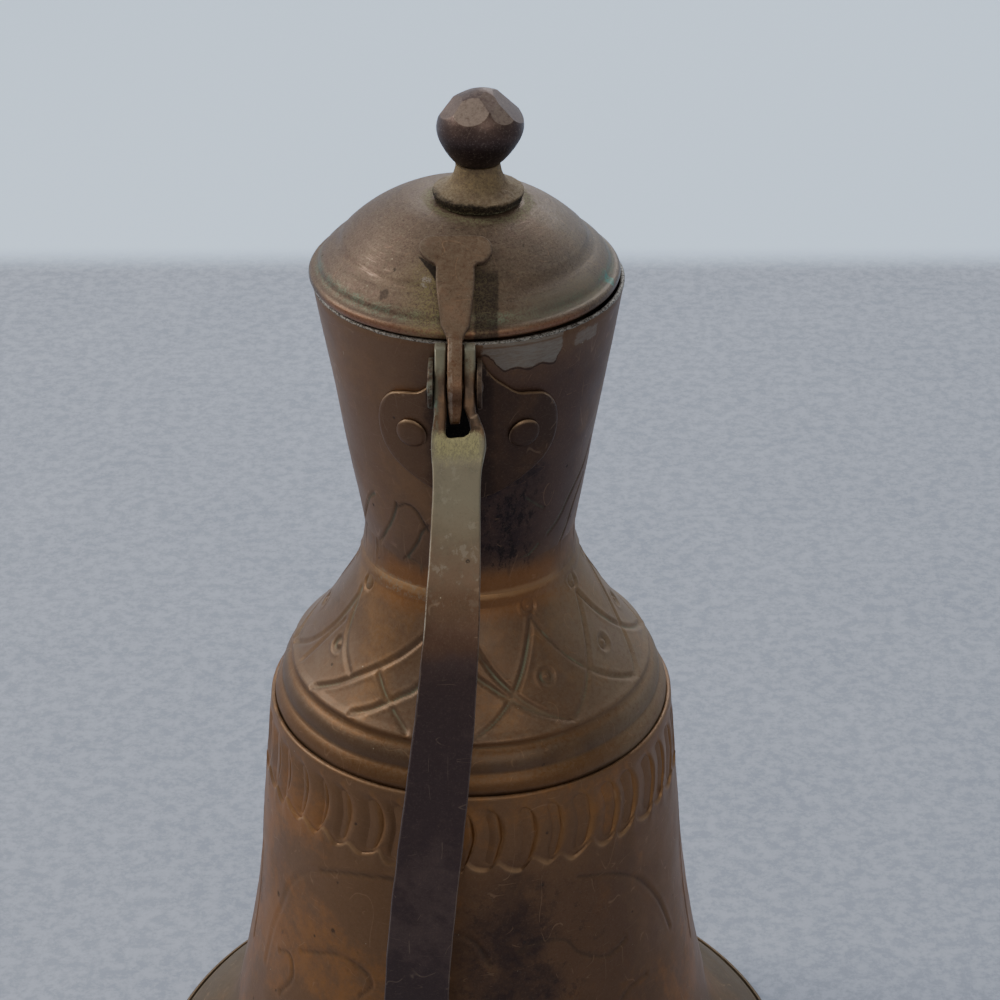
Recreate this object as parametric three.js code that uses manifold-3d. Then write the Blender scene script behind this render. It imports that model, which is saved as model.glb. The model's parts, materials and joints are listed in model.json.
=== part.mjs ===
// A lidded copper jug. Neck and shoulder are raised from one sheet and drop into a bell-shaped
// body, whose flared foot stands in a folded base. The strap handle is split at its upper end
// into a fork, which carries the hinge of the domed lid between the two ears of a riveted plate.
//
// Millimetres, +Z up. The origin is the middle of the base, on the surface the jug stands on.
// The handle and the hinge are on the -Y side. "Reach" is a distance from the jug's axis in -Y,
// and "above the rim" is a height from the top edge of the neck.

import * as THREE from 'three';
import { mergeVertices } from 'three/addons/utils/BufferGeometryUtils.js';
import Module from 'manifold-3d';

const wasm = await Module();
wasm.setup();

// Clearances
const gap = 0.3;
const drillClearance = 0.3;
const swingClearance = 0.6;

// Heights of the shells
const rimHeight = 254;
const creaseHeight = 182.5;
const fieldEndHeight = 148;
const seamHeight = 135.5;

// Neck and shoulder
const rimRadius = 38;
const creaseRadius = 26.3;
const creaseSoftness = { outward: 0.5, upward: 3.2 };
const creaseLedge = 1.1;
const fieldEndRadius = 46.4;
const seamRadius = 51.3;
const upperWall = 1.2;
const shoulderPull = { outward: 0.49, downward: 0.68 };
const bandBulge = 0.45;
const bandGroove = 0.5;
const lapStart = 0.6;
const lapDepth = 8;

// Body: outer radius against the share of the height between the base fold and the seam
const bodyWall = 1.3;
const lipStand = 1.2;
const lipRadius = seamRadius + lipStand;
const bellyRadius = 54.1;
const waistRadius = 56.9;
const hemRadius = 64.5;
const footRadius = 88.2;
const bellyShare = 0.87;
const waistShare = 0.62;
const hemShare = 0.27;
const flareShare = 0.09;

// Base
const baseWall = 1.5;
const foldWall = 1.1;
const foldHeight = 6.1;
const foldTuck = 0.45;

// Hinge
const hingeOffset = -2.75;
const pivotStandOff = 8.5;
const pivotReach = rimRadius + pivotStandOff;
const pivotBelowRim = 7;
const pinRadius = 1.5;
const pinDome = 0.35;
const tongueThick = 3.4;
const tineThick = 2.75;
const earThick = 1.2;
const earRadius = 5;
const earRootTop = 3.5;
const earRootFoot = 19.4;
const tongueRadius = 4.8;
const tailRadius = 8.6;
const tailAngle = -62;
const forkTopAboveRim = 1.8;
const forkInset = 5.5;
const forkBend = { out: 5.4, up: 1.8, inwardOut: -4.5, inwardUp: -4.5 };
const forkEnd = { out: 10.25, down: 14 };
const splitEnd = { out: 6.5, down: 9.8, slope: 0.9, across: 7 };

// Hinge plate on the neck, in heights below the rim
const plateWall = 1.2;
const plateTop = 5;
const plateTip = 45.5;
const wingSpan = 21.4;
const wingTop = 15.3;
const rivetBelowRim = 26.2;
const rivetAzimuth = 22.3;
const rivetShank = 1.5;
const rivetHead = 3.5;
const rivetTail = 2.6;
const rivetCrown = 1.0;

// Handle strap
const strapThick = 2.2;
const strapTopWidth = 11.1;
const strapWidth = 16;
const handleReach = 90;
const handleShift = 10.5;
const leanEndAbovePad = 22;
const footTopHeight = 58;
const padLength = 23;
const padWidth = 19;
const footRivetDrops = [10.5, 19.5];
const padSlack = 0.12;
const headWidth = 13;
const headShift = 0.8;
const holeWidth = 5.5;
const holeLength = 4;

// Lid
const lidShift = -1;
const lidWall = 1.2;
const lidInset = 0.1;
const lidRadius = rimRadius - lidInset;
const beadHeight = 2.9;
const coveWidth = 1.3;
const coveDepth = 0.9;
const ledgeWidth = 6.9;
const domeFootRadius = lidRadius - ledgeWidth;
const domeFootAboveRim = 9.4;
const domeRise = 11.4;
const plateauRadius = 13.8;
const collarFit = 3.4;
const collarRadius = rimRadius - upperWall - collarFit;
const collarWall = 1.2;
const collarTop = 3.6;
const collarDepth = 6.5;

// Lid strap
const lidStrapThick = 1.6;
const teeWidth = 17;
const teeLength = 6.4;
const teeOuter = domeFootRadius - 4.4;
const teeInner = teeOuter - teeLength;
const stemWidth = 9;
const stemEndWidth = 6.6;

// Finial
const finialShift = { x: 2.4, y: -2.5 };
const skirtRadius = 11;
const skirtHeight = 8.2;
const skirtEdge = 0.9;
const waist = 5.3;
const bulbRadius = 10.4;
const bulbHeight = 19.2;
const knobLean = 1.1;
const shankRadius = 2.5;
const washerRadius = 6.5;
const washerThick = 1.2;
const peenRadius = 4.2;
const peenHeight = 1;
const filedFacets = [
  { azimuth: -17, tilt: 46, share: 0.865 },
  { azimuth: 15, tilt: 53, share: 0.9 },
  { azimuth: 41, tilt: 41, share: 0.86 },
  { azimuth: 88, tilt: 39, share: 0.83 },
  { azimuth: -55, tilt: 42, share: 0.885 },
  { azimuth: -92, tilt: 58, share: 0.88 },
  { azimuth: -98, tilt: 33, share: 0.905 },
  { azimuth: -140, tilt: 44, share: 0.87 },
  { azimuth: 180, tilt: 47, share: 0.88 },
  { azimuth: 136, tilt: 42, share: 0.87 },
];

// Fineness of the round faces
const shellSides = 40;
const smallSides = 14;

// Metals
const copper = { color: 0x7a4a2c, roughness: 0.42, metalness: 1 };
const darkCopper = { color: 0x4a332a, roughness: 0.45, metalness: 1 };
const oliveBrass = { color: 0x6d6040, roughness: 0.6, metalness: 1 };

const degrees = THREE.MathUtils.degToRad;
const mix = THREE.MathUtils.lerp;
const point = (x, y) => new THREE.Vector2(x, y);

// Solids

/** A closed solid from a three.js geometry, with shared vertices merged and faces outward. */
function solidOf(geometry) {
  geometry.deleteAttribute('normal');
  geometry.deleteAttribute('uv');
  const merged = mergeVertices(geometry, 1e-4);
  const places = merged.attributes.position;
  const corners = [0, 1, 2].map(() => new THREE.Vector3());
  const triangles = [];
  let volume = 0;
  for (let i = 0; i < merged.index.count; i += 3) {
    const ids = [0, 1, 2].map((k) => merged.index.getX(i + k));
    if (new Set(ids).size === 3) {
      ids.forEach((id, k) => corners[k].fromBufferAttribute(places, id));
      volume += corners[0].dot(corners[1].clone().cross(corners[2]));
      triangles.push(ids);
    }
  }
  const outward = volume > 0 ? triangles : triangles.map(([a, b, c]) => [a, c, b]);
  return new wasm.Manifold(new wasm.Mesh({
    numProp: 3,
    vertProperties: Float32Array.from(places.array),
    triVerts: Uint32Array.from(outward.flat()),
  }));
}

/** A named mesh of one solid in its metal. */
function meshOf(name, solid, metal) {
  const found = solid.getMesh();
  const geometry = new THREE.BufferGeometry();
  geometry.setAttribute('position', new THREE.BufferAttribute(found.vertProperties, 3));
  geometry.setIndex(new THREE.BufferAttribute(found.triVerts, 1));
  geometry.computeVertexNormals();
  const mesh = new THREE.Mesh(geometry, new THREE.MeshStandardMaterial(metal));
  mesh.name = name;
  return mesh;
}

/** A turned solid. The profile's points are (radius, height). */
function turned(profile, sides) {
  return solidOf(new THREE.LatheGeometry(profile, sides).rotateX(Math.PI / 2));
}

/** A turned shell open along the axis: the profile closes on itself. */
function turnedRing(profile, sides) {
  return turned([...profile, profile[0].clone()], sides);
}

/** A plate cut to a side outline of (reach, height), with its width along X. */
function sidePlate(outline, width, middle) {
  const geometry = new THREE.ExtrudeGeometry(outline, { depth: width, bevelEnabled: false });
  geometry.translate(0, 0, -width / 2);
  geometry.applyMatrix4(new THREE.Matrix4().makeBasis(
    new THREE.Vector3(0, -1, 0), new THREE.Vector3(0, 0, 1), new THREE.Vector3(-1, 0, 0)));
  return solidOf(geometry.translate(middle, 0, 0));
}

/** A block cut to a front outline of (x, height), from the axis out to a reach. */
function frontBlock(outline, reach) {
  const geometry = new THREE.ExtrudeGeometry(outline, { depth: reach, bevelEnabled: false });
  return solidOf(geometry.rotateX(Math.PI / 2));
}

/** A round bar along X through the hinge's pivot. */
function barOnPivot(radius, length, sides) {
  const bar = new THREE.CylinderGeometry(radius, radius, length, sides).rotateZ(Math.PI / 2);
  return solidOf(bar.translate(hingeOffset, -pivotReach, pivotHeight));
}

/** A turned piece stood on a place, with its own axis along a direction. */
function turnedOn(profile, sides, place, direction) {
  const geometry = new THREE.LatheGeometry(profile, sides);
  const up = new THREE.Vector3(0, 1, 0);
  geometry.applyQuaternion(new THREE.Quaternion().setFromUnitVectors(up, direction));
  return solidOf(geometry.translate(place.x, place.y, place.z));
}

/** The profile of a plain round bar about its own axis, from one height to another. */
function barProfile(radius, from, to) {
  return [point(0, from), point(radius, from), point(radius, to), point(0, to)];
}

// Profiles

/** Points moved square to their line, to its left by a distance. */
function beside(line, distance) {
  return line.map((here, i) => {
    const before = line[Math.max(i - 1, 0)];
    const after = line[Math.min(i + 1, line.length - 1)];
    const along = after.clone().sub(before).normalize();
    return point(here.x - along.y * distance, here.y + along.x * distance);
  });
}

/** Points of an arc from one point to another that stands out to its left by a bulge. */
function arch(from, to, bulge, steps) {
  const along = to.clone().sub(from);
  const left = point(-along.y, along.x).normalize();
  return Array.from({ length: steps + 1 }, (_, i) => {
    const share = i / steps;
    const stand = 4 * bulge * share * (1 - share);
    return from.clone().addScaledVector(along, share).addScaledVector(left, stand);
  });
}

/** The radius of a line of (radius, height) points at a height. */
function radiusAt(line, height) {
  for (let i = 1; i < line.length; i += 1) {
    const [a, b] = [line[i - 1], line[i]];
    if ((a.y - height) * (b.y - height) <= 0 && a.y !== b.y) {
      return mix(a.x, b.x, (height - a.y) / (b.y - a.y));
    }
  }
  return height > Math.max(line[0].y, line.at(-1).y) ? line[0].x : line.at(-1).x;
}

/** A closed outline through points, as a shape. */
const outlineOf = (points) => new THREE.Shape(points.map((p) => p.clone()));

/** The left half of an outline added to its right half, which runs from top to bottom. */
const mirrored = (half) => [...half, ...half.slice(1, -1).reverse().map((p) => point(-p.x, p.y))];

/** The place and outward direction on a turned shell at an azimuth from the -Y side. */
function standOn(line, azimuth, height) {
  const radius = radiusAt(line, height);
  const step = 2;
  const slope = (radiusAt(line, height + step) - radiusAt(line, height - step)) / (2 * step);
  const out = new THREE.Vector3(Math.sin(azimuth), -Math.cos(azimuth), 0);
  const place = out.clone().multiplyScalar(radius).setZ(height);
  return { place, direction: out.setZ(-slope).normalize() };
}

// Sizes and places that follow from the ones above
const pivotHeight = rimHeight - pivotBelowRim;
const boreRadius = pinRadius + drillClearance;
const rivetHole = rivetShank + drillClearance;
const rivetHeight = rimHeight - rivetBelowRim;
const pinLength = tongueThick + 2 * (2 * gap + tineThick + earThick);
const forkSwing = Math.hypot(forkInset, pivotBelowRim + forkTopAboveRim);
const footTipHeight = footTopHeight - padLength;
const footRivetHeights = footRivetDrops.map((drop) => footTopHeight - drop);
const plateauAboveRim = domeFootAboveRim + domeRise;
const plateauHeight = rimHeight + plateauAboveRim;

// The outer lines of the three shells, from the top down
const bodySpan = seamHeight - foldHeight;
const bodyAt = (radius, share) => point(radius, foldHeight + share * bodySpan);
const bodyLine = new THREE.SplineCurve([
  bodyAt(lipRadius, 1),
  bodyAt(bellyRadius, bellyShare),
  bodyAt(waistRadius, waistShare),
  bodyAt(mix(waistRadius, hemRadius, 0.43), mix(waistShare, hemShare, 0.55)),
  bodyAt(hemRadius, hemShare),
  bodyAt(mix(hemRadius, footRadius, 0.13), mix(hemShare, flareShare, 0.55)),
  bodyAt(mix(hemRadius, footRadius, 0.54), flareShare),
  bodyAt(footRadius - 1, 0),
]).getPoints(14).concat([point(footRadius, baseWall + gap + bodyWall), point(footRadius, baseWall + gap)]);
const bodyInside = beside(bodyLine, -bodyWall).slice(0, -2)
  .concat([point(footRadius - bodyWall, baseWall + gap)]);

const creasePoint = point(creaseRadius, creaseHeight);
const ledgePoint = point(creaseRadius + creaseLedge, creaseHeight - creaseLedge * 0.75);
const fieldEnd = point(fieldEndRadius, fieldEndHeight);
const seamPoint = point(seamRadius, seamHeight + bandGroove);
const bandMiddle = point(mix(fieldEndRadius, seamRadius, 0.58), mix(fieldEndHeight, seamHeight, 0.5));
const shoulderLine = new THREE.QuadraticBezierCurve(
  creasePoint,
  point(mix(creaseRadius, fieldEndRadius, shoulderPull.outward),
    mix(creaseHeight, fieldEndHeight, shoulderPull.downward)),
  fieldEnd,
).getPoints(6);
const lapLine = [seamHeight - lapStart, seamHeight - lapDepth]
  .map((height) => point(radiusAt(bodyInside, height) - gap, height));
const upperLine = [
  point(rimRadius, rimHeight),
  point(creaseRadius + creaseSoftness.outward, creaseHeight + creaseSoftness.upward),
  creasePoint,
  ledgePoint,
  ...shoulderLine.slice(1),
  ...arch(point(fieldEnd.x + bandGroove, fieldEnd.y - bandGroove), bandMiddle, bandBulge, 3),
  ...arch(point(bandMiddle.x, bandMiddle.y - bandGroove), seamPoint, bandBulge, 3),
  ...lapLine,
];

/** Neck and shoulder in one sheet, down to the lap inside the body's lip. */
function upperShell() {
  const inside = beside(upperLine, -upperWall);
  inside[0] = point(rimRadius - upperWall, rimHeight);
  let shell = turnedRing([...upperLine, ...inside.reverse()], shellSides);
  for (const side of [-1, 1]) {
    const { place, direction } = standOn(upperLine, side * degrees(rivetAzimuth), rivetHeight);
    const drill = barProfile(rivetHole, -3 * upperWall, 2 * upperWall);
    shell = shell.subtract(turnedOn(drill, smallSides, place, direction));
  }
  return shell;
}

/** The bell-shaped body with its flared foot. */
function bodyShell() {
  let shell = turnedRing([...bodyLine, ...bodyInside.toReversed()], shellSides);
  for (const height of footRivetHeights) {
    const { place, direction } = standOn(bodyLine, footAzimuth, height);
    const drill = barProfile(rivetHole, -3 * bodyWall, 2 * bodyWall);
    shell = shell.subtract(turnedOn(drill, smallSides, place, direction));
  }
  return shell;
}

/** The flat base, whose edge is folded up round the foot. */
function basePan() {
  const inner = footRadius + gap;
  const outer = inner + foldWall;
  const tuckHeight = foldHeight - foldWall;
  return turned([
    point(0, 0),
    point(outer - foldWall / 2, 0),
    point(outer, foldWall / 2),
    point(outer, tuckHeight),
    point(outer - foldTuck, foldHeight - foldWall / 4),
    point(inner - foldTuck + gap, foldHeight),
    point(inner - foldTuck + gap, foldHeight - foldWall / 2),
    point(inner, tuckHeight - foldWall / 2),
    point(inner, baseWall),
    point(0, baseWall),
  ], shellSides);
}

// Hinge plate: half outline from the top middle round a wing to the tip
const platePoints = [
  point(0, plateTop),
  point(wingSpan * 0.16, plateTop),
  point(wingSpan * 0.26, mix(plateTop, wingTop, 0.4)),
  point(wingSpan * 0.41, mix(plateTop, wingTop, 0.7)),
  point(wingSpan * 0.55, mix(plateTop, wingTop, 0.94)),
  point(wingSpan * 0.7, wingTop),
  point(wingSpan * 0.86, mix(wingTop, plateTip, 0.05)),
  point(wingSpan * 0.97, mix(wingTop, plateTip, 0.17)),
  point(wingSpan, mix(wingTop, plateTip, 0.34)),
  point(wingSpan * 0.95, mix(wingTop, plateTip, 0.53)),
  point(wingSpan * 0.8, mix(wingTop, plateTip, 0.7)),
  point(wingSpan * 0.5, mix(wingTop, plateTip, 0.86)),
  point(wingSpan * 0.22, mix(wingTop, plateTip, 0.96)),
  point(0, plateTip),
].map((p) => point(p.x, rimHeight - p.y));

/** The riveted plate with the two ears that hold the pin's ends. */
function hingeBracket() {
  const neckLine = upperLine.slice(0, 2);
  const span = [rimHeight, rimHeight - plateTip - 2 * plateWall];
  const coneOf = (extra) => span.map((h) => point(radiusAt(neckLine, h) + extra, h));
  const ring = turnedRing([...coneOf(gap), ...coneOf(gap + plateWall).reverse()], shellSides);
  const neckRoom = turned([point(0, span[0]), ...coneOf(gap), point(0, span[1])], shellSides);
  const ears = new THREE.Shape();
  const rootTop = rimHeight - earRootTop;
  const rootFoot = rimHeight - earRootFoot;
  const rootReach = radiusAt(neckLine, rootFoot);
  ears.moveTo(rootReach, rootFoot);
  ears.lineTo(pivotReach + earRadius * 0.36, pivotHeight - earRadius * 0.93);
  ears.absarc(pivotReach, pivotHeight, earRadius, degrees(-69), degrees(96), false);
  ears.lineTo(rootReach, rootTop);
  const bite = tongueThick / 2 + 2 * gap + tineThick + earThick / 2;
  let bracket = ring.intersect(frontBlock(outlineOf(mirrored(platePoints)), 2 * rimRadius));
  for (const side of [-1, 1]) {
    const ear = sidePlate(ears, earThick, hingeOffset + side * bite);
    bracket = bracket.add(ear.subtract(neckRoom));
  }
  bracket = bracket.subtract(barOnPivot(boreRadius, 2 * pinLength, smallSides));
  for (const side of [-1, 1]) {
    const { place, direction } = standOn(upperLine, side * degrees(rivetAzimuth), rivetHeight);
    const drill = barProfile(rivetHole, -plateWall, 3 * plateWall);
    bracket = bracket.subtract(turnedOn(drill, smallSides, place, direction));
  }
  return bracket;
}

/** A rivet through two sheets: domed head outside, spread tail inside. */
function rivet(line, azimuth, height, wall, outerSheet) {
  const seat = gap + outerSheet + gap;
  const tail = -wall - gap;
  const profile = [
    point(0, tail - rivetCrown),
    point(rivetTail * 0.75, tail - rivetCrown * 0.8),
    point(rivetTail, tail),
    point(rivetShank, tail),
    point(rivetShank, seat),
    point(rivetHead, seat),
    point(rivetHead * 0.97, seat + rivetCrown * 0.5),
    point(rivetHead * 0.7, seat + rivetCrown * 0.87),
    point(0, seat + rivetCrown),
  ];
  const { place, direction } = standOn(line, azimuth, height);
  return turnedOn(profile, smallSides, place, direction);
}

// Handle
const footMiddle = (footTopHeight + footTipHeight) / 2;
const seatReach = radiusAt(bodyLine, footMiddle) + gap + strapThick / 2;
const footOffset = hingeOffset - handleShift;
const footAzimuth = Math.asin(footOffset / seatReach);
const strapStart = point(pivotReach + forkEnd.out, pivotHeight - forkEnd.down);

const padTopHeight = footTopHeight - 2 * strapThick;

/** A height on the handle, as a share of the way from the fork down to the foot. */
const downHandle = (share) => mix(strapStart.y, footTopHeight, share);

/** The reach of the strap's middle where it lies on the body. */
function reachOnBody(height) {
  return (radiusAt(bodyLine, height) + gap + padSlack + strapThick / 2) * Math.cos(footAzimuth);
}

const strapLine = new THREE.SplineCurve([
  point(strapStart.x - strapThick, strapStart.y + strapThick),
  strapStart,
  point(mix(strapStart.x, handleReach, 0.34), downHandle(0.066)),
  point(mix(strapStart.x, handleReach, 0.67), downHandle(0.137)),
  point(mix(strapStart.x, handleReach, 0.89), downHandle(0.217)),
  point(mix(strapStart.x, handleReach, 0.985), downHandle(0.326)),
  point(handleReach, downHandle(0.46)),
  point(mix(seatReach, handleReach, 0.94), downHandle(0.611)),
  point(mix(seatReach, handleReach, 0.79), downHandle(0.749)),
  point(mix(seatReach, handleReach, 0.55), downHandle(0.863)),
  point(mix(seatReach, handleReach, 0.26), downHandle(0.949)),
  point(reachOnBody(padTopHeight) + gap, padTopHeight),
  point(reachOnBody(footMiddle), footMiddle),
  point(reachOnBody(footTipHeight), footTipHeight),
]);

/** How far the strap has moved aside at a height, on its way from the fork to the foot. */
function asideAt(height) {
  const leanEnd = footTopHeight + leanEndAbovePad;
  const share = THREE.MathUtils.smoothstep(strapStart.y - height, 0, strapStart.y - leanEnd);
  return hingeOffset + mix(headShift / 2, -handleShift, share);
}

/** The strap bent to its side line, tapered in width, leant aside and turned to the body. */
function handleStrapOnly() {
  const middle = strapLine.getSpacedPoints(44);
  const outline = [...beside(middle, strapThick / 2), ...beside(middle, -strapThick / 2).reverse()];
  const taper = [
    point(strapTopWidth / 2, strapStart.y + 2 * strapThick),
    point(mix(strapTopWidth, strapWidth, 0.36) / 2, downHandle(0.19)),
    point(mix(strapTopWidth, strapWidth, 0.85) / 2, downHandle(0.5)),
    point(strapWidth / 2, downHandle(0.8)),
    point(strapWidth / 2, footTopHeight),
    point(padWidth / 2, mix(footTopHeight, footTipHeight, 0.3)),
    point(padWidth / 2, mix(footTopHeight, footTipHeight, 0.66)),
    point(padWidth * 0.38, mix(footTopHeight, footTipHeight, 0.87)),
    point(padWidth * 0.2, mix(footTopHeight, footTipHeight, 0.97)),
    point(0, mix(footTopHeight, footTipHeight, 0.996)),
  ];
  const front = outlineOf([...taper, ...taper.slice(0, -1).reverse().map((p) => point(-p.x, p.y))]);
  const strap = sidePlate(outlineOf(outline), 2 * padWidth, 0)
    .intersect(frontBlock(front, 2 * handleReach));
  return strap.warp((vertex) => {
    const [x, , z] = vertex;
    const turn = THREE.MathUtils.smoothstep(downHandle(0.2) - z, 0, downHandle(0.2) - footTopHeight);
    vertex[0] = x * mix(1, Math.cos(footAzimuth), turn) + asideAt(z);
    vertex[1] += x * Math.sin(footAzimuth) * turn;
  });
}

/** The fork's side line: up its outer edge to the tip, and back down its inner edge. */
function forkOutline() {
  const from = (out, up) => point(pivotReach + out, pivotHeight + up);
  const tip = pivotBelowRim + forkTopAboveRim;
  const half = strapThick * 0.36;
  const outerEdge = new THREE.QuadraticBezierCurve(
    from(forkEnd.out + half, half - forkEnd.down),
    from(forkBend.out, forkBend.up),
    from(-forkInset * 0.42, tip - gap),
  );
  const innerEdge = new THREE.QuadraticBezierCurve(
    from(-forkInset, tip),
    from(forkBend.inwardOut, forkBend.inwardUp),
    from(forkEnd.out - half, -half - forkEnd.down),
  );
  return outlineOf([...outerEdge.getPoints(5), ...innerEdge.getPoints(5)]);
}

/** Two points on a line square across the fork, raised from the end of its split. */
function acrossFork(raised) {
  return [splitEnd.across, -splitEnd.across].map((step) => point(
    pivotReach + splitEnd.out + step, pivotHeight - splitEnd.down + splitEnd.slope * step + raised));
}

/** The split, thickened end of the strap: two tines with a wider hole where the split ends. */
function handleFork() {
  const tineEdge = tongueThick / 2 + gap + tineThick;
  const headEdge = headWidth / 2;
  const strapEdge = strapTopWidth / 2;
  const edge = [
    { out: tineEdge, shift: 0, height: rimHeight + 2 * forkTopAboveRim },
    { out: tineEdge, shift: 0, height: pivotHeight - splitEnd.down * 0.54 },
    { out: mix(tineEdge, headEdge, 0.3), shift: 0.5, height: pivotHeight - splitEnd.down * 0.67 },
    { out: headEdge, shift: 1, height: pivotHeight - splitEnd.down * 0.87 },
    { out: mix(headEdge, strapEdge, 0.2), shift: 1, height: pivotHeight - splitEnd.down * 1.17 },
    { out: strapEdge, shift: 0.5, height: pivotHeight - forkEnd.down * 1.1 },
  ];
  const side = (sign) => edge.map(({ out, shift, height }) => point(sign * out + shift * headShift, height));
  const front = outlineOf([...side(1), ...side(-1).reverse()]);
  const [outer, inner] = acrossFork(0);
  const slot = [
    inner, outer, point(outer.x, rimHeight + earRadius), point(inner.x - forkInset, rimHeight + earRadius),
    point(inner.x - forkInset, inner.y),
  ];
  const hole = [outer, inner, ...acrossFork(holeLength).reverse()];
  return sidePlate(forkOutline(), 2 * headWidth, 0)
    .intersect(frontBlock(front, 2 * pivotReach))
    .subtract(sidePlate(outlineOf(slot), tongueThick + 2 * gap, 0))
    .subtract(sidePlate(outlineOf(hole), holeWidth, headShift))
    .translate([hingeOffset, 0, 0])
    .subtract(barOnPivot(boreRadius, 2 * headWidth, smallSides));
}

/** The whole handle with its rivet holes. */
function handleStrap() {
  let handle = handleStrapOnly().add(handleFork());
  for (const height of footRivetHeights) {
    const { place, direction } = standOn(bodyLine, footAzimuth, height);
    const drill = barProfile(rivetHole, -strapThick, 3 * strapThick);
    handle = handle.subtract(turnedOn(drill, smallSides, place, direction));
  }
  return handle;
}

/** The pin, hammered over flush with the ears. */
function hingePin() {
  const end = pinLength / 2;
  const profile = [
    point(0, -end - pinDome),
    point(pinRadius * 0.7, -end - pinDome * 0.6),
    point(pinRadius, -end),
    point(pinRadius, end),
    point(pinRadius * 0.7, end + pinDome * 0.6),
    point(0, end + pinDome),
  ];
  const place = new THREE.Vector3(hingeOffset, -pivotReach, pivotHeight);
  return turnedOn(profile, smallSides, place, new THREE.Vector3(1, 0, 0));
}

// Lid: a dome that is part of a ball round a point below the rim, a cove and a solid rolled edge
const ballUnderFoot = (domeFootRadius ** 2 - plateauRadius ** 2 - domeRise ** 2) / (2 * domeRise);
const domeBall = Math.hypot(domeFootRadius, ballUnderFoot);
const ballBelow = ballUnderFoot - domeFootAboveRim;
const domeHeightAt = (radius) => Math.sqrt(domeBall ** 2 - radius ** 2) - ballBelow;
const onRim = (points) => points.map((p) => point(p.x, p.y + rimHeight));

/** Points down the dome from the plateau's edge to its foot, on a ball of another radius. */
function domeArc(thinner, steps) {
  const ball = domeBall - thinner;
  const start = Math.asin(plateauRadius / domeBall);
  const end = Math.asin(domeFootRadius / domeBall);
  return Array.from({ length: steps + 1 }, (_, i) => {
    const angle = mix(start, end, i / steps);
    return point(ball * Math.sin(angle), ball * Math.cos(angle) - ballBelow);
  });
}

/** The domed lid with a hole for the finial's shank. */
function lidDome() {
  const ledge = domeFootAboveRim - coveDepth;
  const inner = collarRadius + gap;
  const outside = [
    point(0, plateauAboveRim),
    ...domeArc(0, 5),
    point(domeFootRadius + coveWidth * 0.3, ledge),
    point(domeFootRadius + coveWidth, ledge - coveDepth * 0.55),
    point(mix(domeFootRadius, lidRadius, 0.52), mix(ledge, beadHeight, 0.52)),
    point(lidRadius - beadHeight * 0.35, beadHeight * 1.12),
    point(lidRadius - beadHeight * 0.07, beadHeight * 0.76),
    point(lidRadius, beadHeight * 0.48),
    point(lidRadius - beadHeight * 0.14, gap),
  ];
  const inside = [
    point(inner, gap),
    point(inner, collarTop + gap),
    point(domeFootRadius - lidWall / 2, ledge - lidWall),
    ...domeArc(lidWall, 5).reverse(),
    point(0, plateauAboveRim - lidWall),
  ];
  const place = new THREE.Vector3(finialShift.x - lidShift, finialShift.y, plateauHeight);
  const drill = barProfile(shankRadius + drillClearance, -3 * lidWall, 2 * lidWall);
  return turned(onRim([...outside, ...inside]), shellSides)
    .subtract(turnedOn(drill, smallSides, place, new THREE.Vector3(0, 0, 1)))
    .translate([lidShift, 0, 0]);
}

/** The ring soldered inside the lid's edge, which drops into the neck. */
function lidCollar() {
  const inside = collarRadius - collarWall;
  return turnedRing(onRim([
    point(collarRadius, collarTop),
    point(collarRadius, mix(collarTop, -collarDepth, 0.85)),
    point(collarRadius - collarWall / 2, -collarDepth),
    point(inside, -collarDepth),
    point(inside, collarTop),
  ]), shellSides).translate([lidShift, 0, 0]);
}

/** Side line of the lid strap's underside, as (reach, height above the rim). */
function strapUnderside() {
  const clear = gap * 1.15;
  const seat = [0, 0.5, 1].map((share) => {
    const reach = mix(teeInner, teeOuter, share);
    return point(reach, domeHeightAt(reach) + clear);
  });
  return [
    ...seat,
    point(domeFootRadius, domeFootAboveRim + 3 * gap),
    point(mix(domeFootRadius, lidRadius, 0.52), mix(domeFootAboveRim, beadHeight, 0.52) + 4 * gap),
    point(lidRadius - gap * 1.6, beadHeight + 3 * gap),
    point(lidRadius + gap * 2.4, beadHeight - 3 * gap),
  ];
}

/** A point round the hinge's pivot, by its angle in degrees above the outward direction. */
function aroundPivot(angle, radius) {
  const turn = degrees(angle);
  return point(pivotReach + radius * Math.cos(turn), pivotHeight + radius * Math.sin(turn));
}

/** Side line of the lid strap with the tongue's knuckle and tail round the pivot. */
function lidStrapOutline() {
  const knuckle = (from, to, steps) => Array.from({ length: steps + 1 }, (_, i) => (
    aroundPivot(mix(from, to, i / steps), tongueRadius)));
  const under = strapUnderside();
  const over = beside(under, lidStrapThick).slice(0, -1);
  return outlineOf([
    ...onRim(over),
    aroundPivot(118, forkSwing + 3 * swingClearance),
    aroundPivot(94, tongueRadius + lidStrapThick * 1.8),
    aroundPivot(60, tongueRadius + gap),
    ...knuckle(35, -30, 3),
    aroundPivot(tailAngle + 10, tailRadius * 0.92),
    aroundPivot(tailAngle, tailRadius),
    aroundPivot(tailAngle - 12, tailRadius * 0.94),
    ...knuckle(-100, -180, 3),
    aroundPivot(152, tongueRadius + lidStrapThick * 1.3),
    ...onRim(under.reverse()),
  ]);
}

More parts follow.
